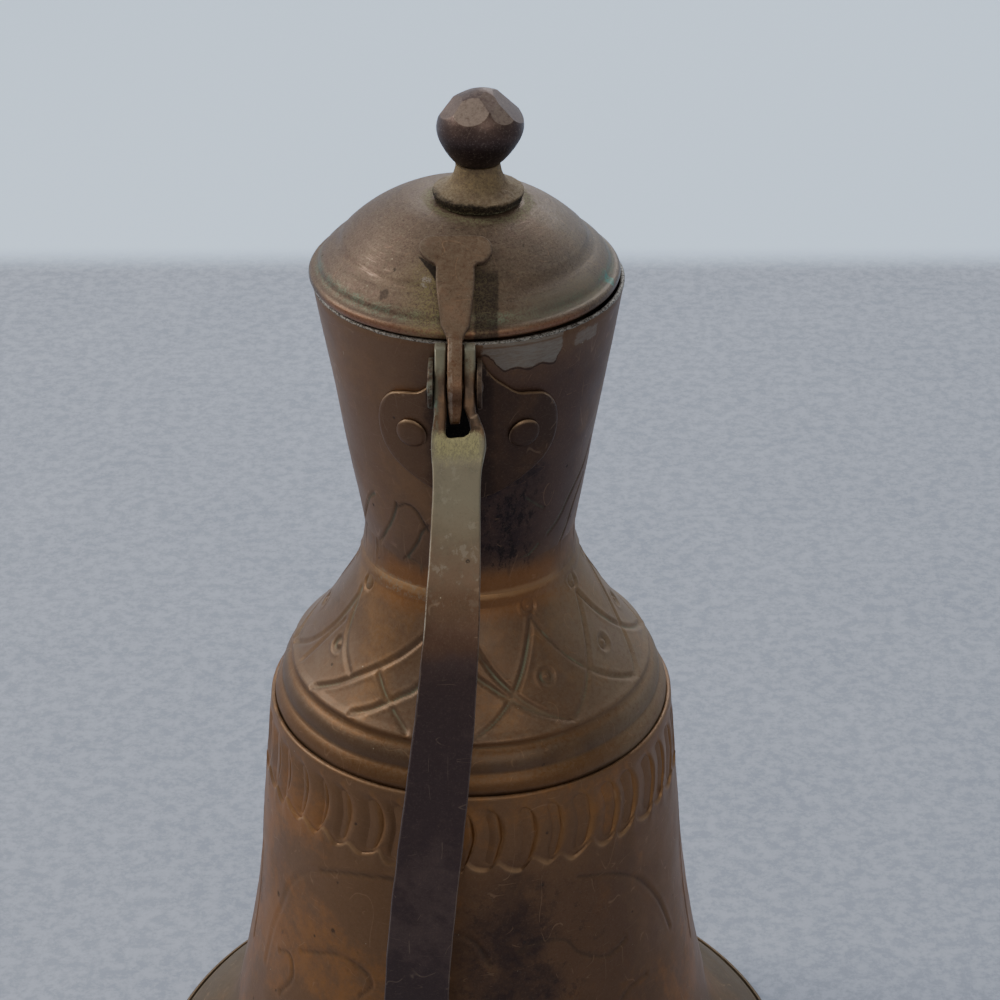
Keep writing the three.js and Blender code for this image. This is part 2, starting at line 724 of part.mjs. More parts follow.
/** Half plan of the lid strap: the T-shaped head with its round lobe, and the stem. */
function lidStrapPlan() {
  const lobe = teeLength / 2;
  const lobeMiddle = point(teeWidth / 2 - lobe, -teeInner - lobe);
  const round = Array.from({ length: 5 }, (_, i) => {
    const turn = degrees(mix(75, -75, i / 4));
    return point(lobeMiddle.x + lobe * Math.cos(turn), lobeMiddle.y + lobe * Math.sin(turn));
  });
  return [
    point(0, -teeInner),
    point(lobeMiddle.x, -teeInner),
    ...round,
    point(lobeMiddle.x, -teeOuter),
    point(stemWidth / 2, -teeOuter),
    point(stemWidth / 2, -mix(teeOuter, lidRadius, 0.5)),
    point(stemEndWidth / 2, -lidRadius),
    point(stemEndWidth / 2, -pivotReach),
    point(0, -pivotReach),
  ];
}

/** The strap that is soldered on the dome, and the tongue in which it ends on the pin. */
function lidStrap() {
  const outline = lidStrapOutline();
  const depth = 2 * plateauAboveRim;
  const plan = new THREE.ExtrudeGeometry(outlineOf(mirrored(lidStrapPlan())), { depth, bevelEnabled: false });
  const head = sidePlate(outline, 2 * teeWidth, 0)
    .intersect(solidOf(plan.translate(0, 0, rimHeight)))
    .translate([hingeOffset, 0, 0])
    .subtract(barOnPivot(forkSwing + swingClearance, 2 * teeWidth, 2 * smallSides));
  const overLid = new THREE.BoxGeometry(teeWidth, 2 * (lidRadius - lidStrapThick), 2 * rimHeight);
  return sidePlate(outline, tongueThick, hingeOffset)
    .subtract(solidOf(overLid.translate(hingeOffset, 0, rimHeight)))
    .add(head)
    .subtract(barOnPivot(boreRadius, 2 * teeWidth, smallSides));
}

// Finial, in heights above the lid's plateau
const onPlateau = (points) => points.map((p) => point(p.x, p.y + plateauHeight));
const atFinial = (solid) => solid.translate([finialShift.x, finialShift.y, 0]);

/** The coved skirt under the knob. */
function finialBase() {
  const top = gap + skirtHeight;
  const bore = shankRadius + drillClearance;
  return atFinial(turnedRing(onPlateau([
    point(bore, gap),
    point(skirtRadius - skirtEdge, gap),
    point(skirtRadius - skirtEdge * 0.6, gap + skirtEdge),
    point(skirtRadius, gap + skirtHeight * 0.18),
    point(mix(waist, skirtRadius, 0.7), gap + skirtHeight * 0.32),
    point(mix(waist, skirtRadius, 0.36), gap + skirtHeight * 0.48),
    point(mix(waist, skirtRadius, 0.1), gap + skirtHeight * 0.71),
    point(waist, gap + skirtHeight * 0.88),
    point(waist + gap, top),
    point(bore, top),
  ]), 2 * smallSides));
}

/** A solid with one flat filed off, at a distance from the knob's middle. */
function filed(solid, { azimuth, tilt, share }, middle) {
  const turn = degrees(azimuth);
  const rise = degrees(tilt);
  const flat = new THREE.Vector3(
    Math.sin(turn) * Math.cos(rise), -Math.cos(turn) * Math.cos(rise), Math.sin(rise));
  const place = share * bulbRadius + flat.z * middle;
  return solid.trimByPlane(flat.negate().toArray(), -place);
}

/** The knob with its filed facets, and the shank that holds it through the lid. */
function finialKnob() {
  const foot = 2 * gap + skirtHeight;
  const up = (share) => foot + share * bulbHeight;
  const washerFoot = -lidWall - gap - washerThick;
  const bulb = turned(onPlateau([
    point(0, washerFoot - gap - peenHeight),
    point(peenRadius * 0.75, washerFoot - gap - peenHeight * 0.8),
    point(peenRadius, washerFoot - gap),
    point(shankRadius, washerFoot - gap),
    point(shankRadius, foot),
    point(waist + gap, foot),
    point(bulbRadius * 0.7, up(0.08)),
    point(bulbRadius * 0.86, up(0.19)),
    point(bulbRadius * 0.97, up(0.32)),
    point(bulbRadius, up(0.45)),
    point(bulbRadius * 0.98, up(0.57)),
    point(bulbRadius * 0.9, up(0.7)),
    point(bulbRadius * 0.7, up(0.86)),
    point(bulbRadius * 0.38, up(0.96)),
    point(0, up(1.005)),
  ]), 2 * smallSides);
  const middle = plateauHeight + up(0.46);
  const straight = filedFacets.reduce((solid, facet) => filed(solid, facet, middle), bulb);
  return atFinial(straight.warp((vertex) => {
    const above = Math.max(vertex[2] - plateauHeight - foot, 0);
    vertex[0] += knobLean * above / bulbHeight;
  }));
}

/** The washer inside the lid, under the spread end of the shank. */
function finialWasher() {
  const top = -lidWall - gap;
  const bore = shankRadius + drillClearance;
  return atFinial(turnedRing(onPlateau([
    point(bore, top), point(bore, top - washerThick),
    point(washerRadius, top - washerThick), point(washerRadius, top),
  ]), smallSides));
}

const jug = new THREE.Group();
const fixed = new THREE.Group();
fixed.add(
  meshOf('neck_and_shoulder', upperShell(), copper),
  meshOf('body_shell', bodyShell(), copper),
  meshOf('base_pan', basePan(), copper),
  meshOf('hinge_bracket', hingeBracket(), darkCopper),
  meshOf('handle_strap', handleStrap(), darkCopper),
  meshOf('hinge_pin', hingePin(), darkCopper),
);
for (const [name, side] of [['bracket_rivet_left', -1], ['bracket_rivet_right', 1]]) {
  const solid = rivet(upperLine, side * degrees(rivetAzimuth), rivetHeight, upperWall, plateWall);
  fixed.add(meshOf(name, solid, darkCopper));
}
for (const [i, name] of ['handle_rivet_upper', 'handle_rivet_lower'].entries()) {
  const solid = rivet(bodyLine, footAzimuth, footRivetHeights[i], bodyWall, strapThick);
  fixed.add(meshOf(name, solid, darkCopper));
}

const lid = new THREE.Group();
lid.add(
  meshOf('lid_dome', lidDome(), copper),
  meshOf('lid_collar', lidCollar(), copper),
  meshOf('lid_strap', lidStrap(), darkCopper),
  meshOf('finial_base', finialBase(), oliveBrass),
  meshOf('finial_knob', finialKnob(), darkCopper),
  meshOf('finial_washer', finialWasher(), oliveBrass),
);
jug.add(fixed, lid);

export default jug;
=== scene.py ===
"""A lidded copper jug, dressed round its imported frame.

Sizes are in millimetres and become metres when a piece is finished. The jug's axis is Z, and the
handle is on the -Y side. An azimuth is in degrees, from the handle's side towards +X.
"""

import json
import logging
import math
from collections.abc import Callable, Sequence
from dataclasses import dataclass, field, replace
from enum import Enum

import bmesh
import bpy
import numpy as np
from bpy.types import Material, Node, NodeSocket
from mathutils import Euler, Matrix, Vector, noise
from mathutils.kdtree import KDTree


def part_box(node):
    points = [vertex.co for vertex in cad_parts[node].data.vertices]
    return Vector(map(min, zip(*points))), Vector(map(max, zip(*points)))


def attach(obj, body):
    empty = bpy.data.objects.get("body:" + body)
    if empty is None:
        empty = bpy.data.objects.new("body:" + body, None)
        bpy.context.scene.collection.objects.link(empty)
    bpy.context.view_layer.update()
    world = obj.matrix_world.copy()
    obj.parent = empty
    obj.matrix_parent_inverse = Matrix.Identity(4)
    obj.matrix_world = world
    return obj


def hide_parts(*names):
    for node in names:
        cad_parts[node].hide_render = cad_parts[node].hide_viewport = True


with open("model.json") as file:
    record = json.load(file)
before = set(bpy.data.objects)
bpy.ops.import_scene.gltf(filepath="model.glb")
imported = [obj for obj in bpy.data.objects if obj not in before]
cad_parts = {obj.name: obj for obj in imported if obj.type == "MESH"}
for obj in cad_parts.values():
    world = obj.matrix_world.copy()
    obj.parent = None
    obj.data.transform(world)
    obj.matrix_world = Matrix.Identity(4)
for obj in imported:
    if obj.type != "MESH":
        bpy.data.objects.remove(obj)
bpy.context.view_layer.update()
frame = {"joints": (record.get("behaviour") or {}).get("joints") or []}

MM = 0.001
UP = Vector((0, 0, 1))
LOG = logging.getLogger("jug")

Point = tuple[float, float]
Rgb = tuple[float, float, float]


def mix(a: float, b: float, share: float) -> float:
    """A number between two others."""
    return a + (b - a) * share


def smooth_share(value: float, low: float, high: float) -> float:
    """How far a value is from low to high, from 0 to 1, easing in and out."""
    share = min(max((value - low) / (high - low), 0.0), 1.0)
    return share * share * (3 - 2 * share)


def through(stops: Sequence[Point], steps: int) -> list[Point]:
    """A smooth line through points.

    Args:
        stops: The points, in order.
        steps: How many stretches each gap between two points gets.

    Returns:
        The points of the line, both ends included.
    """
    ends = [Vector(stops[0]), *map(Vector, stops), Vector(stops[-1])]
    line = []
    for a, b, c, d in zip(ends, ends[1:], ends[2:], ends[3:]):
        for step in range(steps):
            t = step / steps
            place = 0.5 * (2 * b + (c - a) * t + (2 * a - 5 * b + 4 * c - d) * t ** 2
                           + (3 * b - a - 3 * c + d) * t ** 3)
            line.append(tuple(place))
    return [*line, tuple(stops[-1])]


def bend(start: Point, pull: Point, end: Point, steps: int) -> list[Point]:
    """A line from one point to another, drawn towards a third."""
    a, b, c = Vector(start), Vector(pull), Vector(end)
    shares = [step / steps for step in range(steps + 1)]
    return [tuple(a * (1 - t) ** 2 + b * 2 * t * (1 - t) + c * t * t) for t in shares]


def between(first: Point, second: Point, across: float, up: float) -> Point:
    """A point between two others, by a share of its own in each direction."""
    return mix(first[0], second[0], across), mix(first[1], second[1], up)


def off(origin: Point, *steps: Point) -> list[Point]:
    """Points given by how far they lie from an origin."""
    return [(origin[0] + across, origin[1] + up) for across, up in steps]


def polar(middle: Point, radius: float, angle: float) -> Point:
    """The point at a radius and an angle, in degrees, from a middle."""
    turn = math.radians(angle)
    return middle[0] + radius * math.cos(turn), middle[1] + radius * math.sin(turn)


def beside(line: Sequence[Point], distance: float) -> list[Point]:
    """A line moved square to itself, to its left by a distance."""
    moved = []
    for i, here in enumerate(line):
        before, after = line[max(i - 1, 0)], line[min(i + 1, len(line) - 1)]
        along = (Vector(after) - Vector(before)).normalized()
        moved.append((here[0] - along.y * distance, here[1] + along.x * distance))
    return moved


def spaced(line: Sequence[Point], gap: float) -> list[Point]:
    """The same line with points at about an even gap."""
    points = np.array(line, float)
    lengths = np.concatenate([[0], np.cumsum(np.linalg.norm(np.diff(points, axis=0), axis=1))])
    count = max(int(round(lengths[-1] / gap)), 1)
    stops = np.linspace(0, lengths[-1], count + 1)
    return [tuple(p) for p in np.column_stack([np.interp(stops, lengths, c) for c in points.T])]


def radius_at(line: Sequence[Point], height: float) -> float:
    """The radius of a line of (radius, height) points at a height."""
    ordered = sorted(line, key=lambda p: p[1])
    return float(np.interp(height, [p[1] for p in ordered], [p[0] for p in ordered]))


def on_shell(line: Sequence[Point], azimuth: float, height: float) -> Vector:
    """The point of a turned shell at an azimuth and a height."""
    turn, radius = math.radians(azimuth), radius_at(line, height)
    return Vector((radius * math.sin(turn), -radius * math.cos(turn), height))


def outward(line: Sequence[Point], azimuth: float, height: float) -> Vector:
    """The direction square to a turned shell at an azimuth and a height."""
    reach = 2.0
    slope = (radius_at(line, height + reach) - radius_at(line, height - reach)) / (2 * reach)
    turn = math.radians(azimuth)
    return Vector((math.sin(turn), -math.cos(turn), -slope)).normalized()


@dataclass(frozen=True)
class Layout:
    """Places that several sub-assemblies share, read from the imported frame."""

    rim: float
    seam: float
    foot: float
    pivot: Vector
    lid_top: float

    @classmethod
    def from_frame(cls) -> "Layout":
        """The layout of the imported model."""
        pivot = Vector(frame["joints"][0]["pos_m"]) / MM
        return cls(
            rim=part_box("neck_and_shoulder")[1].z / MM,
            seam=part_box("body_shell")[1].z / MM,
            foot=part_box("base_pan")[1].z / MM,
            pivot=pivot,
            lid_top=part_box("lid_dome")[1].z / MM,
        )


LAYOUT = Layout.from_frame()

# Sizes that several sub-assemblies share: the gap between pieces, the tongue and a tine.
GAP = 0.3
TONGUE = 3.4
TINE = 2.75


class Body(Enum):
    """The two bodies that the hinge joins."""

    JUG = "jug"
    LID = "lid"


class Slot(Enum):
    """The record's material slots."""

    BODY = "body_copper"
    LID = "lid_copper"
    DARK = "dark_copper"
    HANDLE = "handle_metal"
    KNOB = "knob_brass"


# Shader maths


class Value:
    """A number in a material, with arithmetic that adds Math nodes."""

    def __init__(self, shader: "Shader", socket: NodeSocket) -> None:
        self.shader = shader
        self.socket = socket

    def _with(self, operation: str, *others: "Value | float", clamp: bool = False) -> "Value":
        """This number put through a Math node with others."""
        return self.shader.math(operation, self, *others, clamp=clamp)

    def __add__(self, other: "Value | float") -> "Value":
        """The sum."""
        return self._with("ADD", other)

    __radd__ = __add__

    def __sub__(self, other: "Value | float") -> "Value":
        """The difference."""
        return self._with("SUBTRACT", other)

    def __rsub__(self, other: float) -> "Value":
        """The difference from a plain number."""
        return self.shader.math("SUBTRACT", other, self)

    def __mul__(self, other: "Value | float") -> "Value":
        """The product."""
        return self._with("MULTIPLY", other)

    __rmul__ = __mul__

    def __abs__(self) -> "Value":
        """The size without the sign."""
        return self._with("ABSOLUTE")

    def clamped(self) -> "Value":
        """The number held between 0 and 1."""
        return self._with("ADD", 0.0, clamp=True)

    def most(self, other: "Value | float") -> "Value":
        """The larger of two numbers."""
        return self._with("MAXIMUM", other)

    def rise(self, low: float, high: float) -> "Value":
        """From 0 at low to 1 at high, easing in and out. High may be the lower one."""
        if low > high:
            return 1.0 - self.rise(high, low)
        node = self.shader.node(
            "ShaderNodeMapRange", {"interpolation_type": "SMOOTHSTEP"},
            {"Value": self, "From Min": low, "From Max": high})
        return Value(self.shader, node.outputs["Result"])

    def band(self, middle: float, half: float, soft: float) -> "Value":
        """1 within half of a middle, falling to 0 over a soft edge."""
        return abs(self - middle).rise(half + soft, half)


class Arrow:
    """A vector in a material, with arithmetic that adds Vector Math nodes."""

    def __init__(self, shader: "Shader", socket: NodeSocket) -> None:
        self.shader = shader
        self.socket = socket

    def _with(self, operation: str, other: "Arrow | Vector | tuple") -> "Arrow":
        """This vector put through a Vector Math node with another."""
        node = self.shader.node(
            "ShaderNodeVectorMath", {"operation": operation}, {0: self, 1: other})
        return Arrow(self.shader, node.outputs["Vector"])

    def __add__(self, other: "Arrow | tuple") -> "Arrow":
        """The sum."""
        return self._with("ADD", other)

    __radd__ = __add__

    def __mul__(self, other: "Arrow | tuple | float") -> "Arrow":
        """The product, part by part, or scaled by a plain number."""
        return self._with("MULTIPLY", (other,) * 3 if isinstance(other, (int, float)) else other)

    __rmul__ = __mul__

    def part(self, axis: str) -> Value:
        """The X, Y or Z part."""
        node = self.shader.node("ShaderNodeSeparateXYZ", {}, {"Vector": self})
        return Value(self.shader, node.outputs[axis])


class Tint:
    """A colour in a material."""

    def __init__(self, socket: NodeSocket) -> None:
        self.socket = socket


def rgb(red: int, green: int, blue: int) -> Rgb:
    """A colour from its sRGB parts, from 0 to 255, as linear light."""
    def linear(part: int) -> float:
        share = part / 255
        return share / 12.92 if share <= 0.04045 else ((share + 0.055) / 1.055) ** 2.4
    return linear(red), linear(green), linear(blue)


class Shader:
    """A procedural material in the making."""

    def __init__(self, name: str) -> None:
        self.material = bpy.data.materials.new(name)
        self.material.use_nodes = True
        self.tree = self.material.node_tree
        self.surface = self.tree.nodes["Principled BSDF"]
        coordinates = self.node("ShaderNodeTexCoord")
        self.place = Arrow(self, coordinates.outputs["Object"]) * (1 / MM)
        self.x, self.y, self.z = (self.place.part(axis) for axis in "XYZ")
        self.facing = Arrow(self, coordinates.outputs["Normal"])
        self.colour: Tint | Rgb = (0.0, 0.0, 0.0)
        self.rough: Value | float = 0.0

    def node(self, kind: str, settings: dict | None = None, inputs: dict | None = None) -> Node:
        """Adds a node.

        Args:
            kind: The node's type.
            settings: Its settings by name. They are set first.
            inputs: Values or links for its sockets, by name or number.

        Returns:
            The new node.
        """
        made = self.tree.nodes.new(kind)
        for name, value in (settings or {}).items():
            setattr(made, name, value)
        for name, value in (inputs or {}).items():
            self.feed(made.inputs[name], value)
        return made

    def feed(self, socket: NodeSocket, value: object) -> None:
        """Links a socket to a value of the tree, or sets it to a plain one."""
        if isinstance(value, (Value, Arrow, Tint)):
            self.tree.links.new(value.socket, socket)
        elif socket.type == "RGBA":
            socket.default_value = (*value, 1.0)
        else:
            socket.default_value = value

    def give(self, name: str, value: object) -> None:
        """Links or sets an input of the surface."""
        self.feed(self.surface.inputs[name], value)

    def math(self, operation: str, *parts: Value | float, clamp: bool = False) -> Value:
        """A Math node over values and numbers."""
        node = self.node(
            "ShaderNodeMath", {"operation": operation, "use_clamp": clamp}, dict(enumerate(parts)))
        return Value(self, node.outputs[0])

    def blend(self, share: Value | float, first: Tint | Rgb, second: Tint | Rgb) -> Tint:
        """A colour between two others."""
        node = self.node(
            "ShaderNodeMix", {"data_type": "RGBA", "clamp_factor": True},
            {0: share, 6: first, 7: second})
        return Tint(node.outputs[2])

    def lay(self, share: Value | float, tint: Tint | Rgb) -> None:
        """Lays another colour over a share of the colour so far."""
        self.colour = self.blend(share, self.colour, tint)

    def shade(self, share: Value) -> None:
        """Makes the colour so far darker or lighter by a factor."""
        grey = self.node("ShaderNodeCombineColor", {}, {0: share, 1: share, 2: share})
        node = self.node(
            "ShaderNodeMix", {"data_type": "RGBA", "blend_type": "MULTIPLY"},
            {0: 1.0, 6: self.colour, 7: Tint(grey.outputs[0])})
        self.colour = Tint(node.outputs[2])

    def grain(self, size: float, detail: float = 3, rough: float = 0.55, stretch: Rgb = (1, 1, 1),
              shift: float = 0, twist: float = 0) -> Value:
        """Noise.

        Args:
            size: About how far across its lumps are, in millimetres.
            detail: How many finer layers it has.
            rough: How strong the finer layers are, from 0 to 1.
            stretch: More than 1 squeezes it along X, Y or Z, and less draws it out.
            shift: Moves it, so that two layers differ.
            twist: How much it is swirled.

        Returns:
            The noise, from 0 to 1.
        """
        scale = tuple(part / size for part in stretch)
        where = self.place * scale + (shift, 0.7 * shift, 1.3 * shift)
        node = self.node(
            "ShaderNodeTexNoise", {"noise_dimensions": "3D"},
            {"Vector": where, "Scale": 1.0, "Detail": detail, "Roughness": rough, "Distortion": twist})
        return Value(self, node.outputs["Fac"])

    def spots(self, gap: float, reach: float, share: float, shift: float = 0) -> Value:
        """Round spots.

        Args:
            gap: About how far apart the places are where a spot may lie.
            reach: A spot's radius, in millimetres.
            share: How many of these places have a spot, from 0 to 1.
            shift: Moves the spots, so that two layers differ.

        Returns:
            1 within a spot and 0 outside.
        """
        where = self.place * (1 / gap) + (shift, shift, shift)
        node = self.node("ShaderNodeTexVoronoi", {}, {"Vector": where, "Scale": 1.0})
        chance = self.node("ShaderNodeSeparateColor", {}, {0: Tint(node.outputs["Color"])})
        chosen = Value(self, chance.outputs[0]).rise(share + 0.02, share)
        near = Value(self, node.outputs["Distance"]).rise(reach / gap * 1.3, reach / gap * 0.6)
        return near * chosen

    def scratches(self, length: float, stretch: Rgb, share: float, shift: float) -> Value:
        """Thin curved scratches along the thin contours of a stretched noise.

        Args:
            length: Size of the noise that they follow, in millimetres.
            stretch: How the noise is drawn out along X, Y and Z.
            share: How much of the surface has them, from 0 to 1.
            shift: Moves the scratches, so that two layers differ.

        Returns:
            1 on a scratch and 0 elsewhere.
        """
        line = abs(self.grain(length, 1, 0.3, stretch, shift) - 0.5).rise(0.006, 0.001)
        where = self.grain(length * 0.8, 2, 0.6, shift=shift + 4).rise(0.62 - share * 0.2, 0.68 - share * 0.2)
        return line * where

    def attribute(self, name: str) -> Value:
        """A number that the mesh carries at its points."""
        node = self.node("ShaderNodeAttribute", {"attribute_name": name})
        return Value(self, node.outputs["Fac"])

    def azimuth(self) -> Value:
        """The azimuth of a point, in degrees."""
        return self.math("ARCTAN2", self.x, 0.0 - self.y) * math.degrees(1)

    def bump(self, height: Value, depth: float) -> None:
        """Gives the surface a relief of a depth in millimetres where the height goes from 0 to 1."""
        node = self.node("ShaderNodeBump", {}, {"Height": height, "Distance": depth * MM, "Strength": 1.0})
        self.give("Normal", Arrow(self, node.outputs["Normal"]))


# Finishes


@dataclass(frozen=True)
class AgedMetal:
    """Old copper: patches of patina, dust on what faces up, dirt in hollows and bright edges."""

    name: str = "aged_copper"
    glow: Rgb = rgb(146, 98, 56)
    middle: Rgb = rgb(118, 84, 57)
    dark: Rgb = rgb(76, 57, 45)
    worn: Rgb = rgb(168, 134, 102)
    dust: Rgb = rgb(142, 128, 106)
    dirt: Rgb = rgb(50, 40, 34)
    verdigris: Rgb = rgb(112, 134, 112)
    glow_share: float = 0.5
    dark_share: float = 0.35
    dust_amount: float = 0.35
    verdigris_amount: float = 0.5
    pit_share: float = 0.2
    scratch_amount: float = 0.25
    wear: float = 0.5
    metallic: float = 0.65
    roughness: float = 0.45
    patch: float = 30
    relief: float = 0.05
    grit: float = 0.12
    fleck_share: float = 0.06

    def build(self) -> Material:
        """The finish as a material."""
        shader = Shader(self.name)
        shader.rough = self.roughness + (shader.grain(9, 4) - 0.5) * 0.22
        self.patina(shader)
        self.local(shader)
        metal = self.settle(shader)
        self.last(shader)
        shader.give("Base Color", shader.colour)
        shader.give("Roughness", shader.rough.clamped())
        shader.give("Metallic", metal.clamped())
        shader.give("Specular IOR Level", 0.35)
        shader.bump(self.height(shader), self.relief)
        return shader.material

    def patina(self, shader: Shader) -> None:
        """The metal's own patches of colour."""
        tone = shader.grain(self.patch, 4, 0.6, twist=0.4)
        fine = shader.grain(3.2, 4, 0.7, shift=11) - 0.5
        low = 0.62 - 0.3 * self.glow_share
        shader.colour = self.middle
        shader.lay((tone + fine * 0.35).rise(low, low + 0.22), self.glow)
        shadow = shader.grain(self.patch * 0.8, 5, 0.65, shift=5, twist=0.7) + fine * 0.3
        low = 0.72 - 0.3 * self.dark_share
        shader.lay(shadow.rise(low, low + 0.18) * 0.8, self.dark)
        shader.shade(0.88 + shader.grain(1.2, 3, 0.7, shift=23) * 0.24)

    def local(self, shader: Shader) -> None:
        """What lies at one place only, under the dust. A plain finish has nothing."""

    def last(self, shader: Shader) -> None:
        """What lies over the dust and the wear. A plain finish has nothing."""

    def settle(self, shader: Shader) -> Value:
        """Adds pits, scratches, dirt, dust and wear.

        Args:
            shader: The material in the making.

        Returns:
            The metallic share.
        """
        pits = self.pits(shader)
        shader.lay(pits * 0.75, self.dirt)
        hollow = shader.attribute("groove").most(shader.attribute("struck"))
        speck = shader.grain(1.1, 3, 0.7, shift=2)
        green = hollow.rise(0.1, 0.8) * shader.grain(14, 3, shift=9).rise(0.42, 0.6)
        shader.lay(hollow.rise(0.1, 0.9) * 0.4, self.dirt)
        shader.lay(green * self.verdigris_amount, self.verdigris)
        up = shader.facing.part("Z").rise(-0.05, 0.95)
        dusty = (up * speck.rise(0.25, 0.75) + hollow * 0.15) * self.dust_amount
        dusty = dusty.most(speck.rise(0.1, 0.6) * self.settled_dust(shader))
        shader.lay(dusty, self.dust)
        lines = self.scratches(shader)
        edge = (shader.attribute("edge") * (0.4 + speck)).rise(0.3, 0.95)
        bright = (lines * self.scratch_amount).most(edge * self.wear)
        shader.lay(bright, self.worn)
        fine = shader.grain(0.5, 3, 0.8, shift=29)
        shader.lay(fine.rise(0.54, 0.64) * self.grit, self.dust)
        shader.lay(fine.rise(0.45, 0.35) * self.grit, self.dirt)
        flecks = shader.spots(3.0, 0.16, self.fleck_share, 6)
        shader.lay(flecks * 0.7, rgb(186, 174, 150))
        shader.rough += dusty * 0.35 + pits * 0.2 + hollow * 0.15 - bright * 0.1
        return self.metallic - dusty * 0.5 - pits * 0.4 - hollow * 0.3

    def settled_dust(self, shader: Shader) -> Value | float:
        """Where dust lies besides on what faces up. A plain finish has none there."""
        return 0.0

    def pits(self, shader: Shader) -> Value:
        """Small dark pits in two sizes."""
        ragged = shader.grain(0.8, 3, 0.7, shift=27).rise(0.35, 0.5)
        small = shader.spots(6, 0.5, self.pit_share)
        return small.most(shader.spots(13, 0.85, self.pit_share * 0.8, 3)) * ragged

    def scratches(self, shader: Shader) -> Value:
        """Thin scratches, mostly level or upright."""
        level = shader.scratches(9, (1, 1, 0.3), 0.5, 1)
        return level.most(shader.scratches(6, (0.35, 0.35, 1.3), 0.4, 7))

    def height(self, shader: Shader) -> Value:
        """The fine relief, from 0 to 1."""
        soft = shader.grain(4.5, 3, 0.5, shift=3)
        fine = shader.grain(0.7, 3, 0.6, shift=8)
        return soft * 0.6 + fine * 0.35 - self.scratches(shader) * 0.2 - self.pits(shader) * 0.8


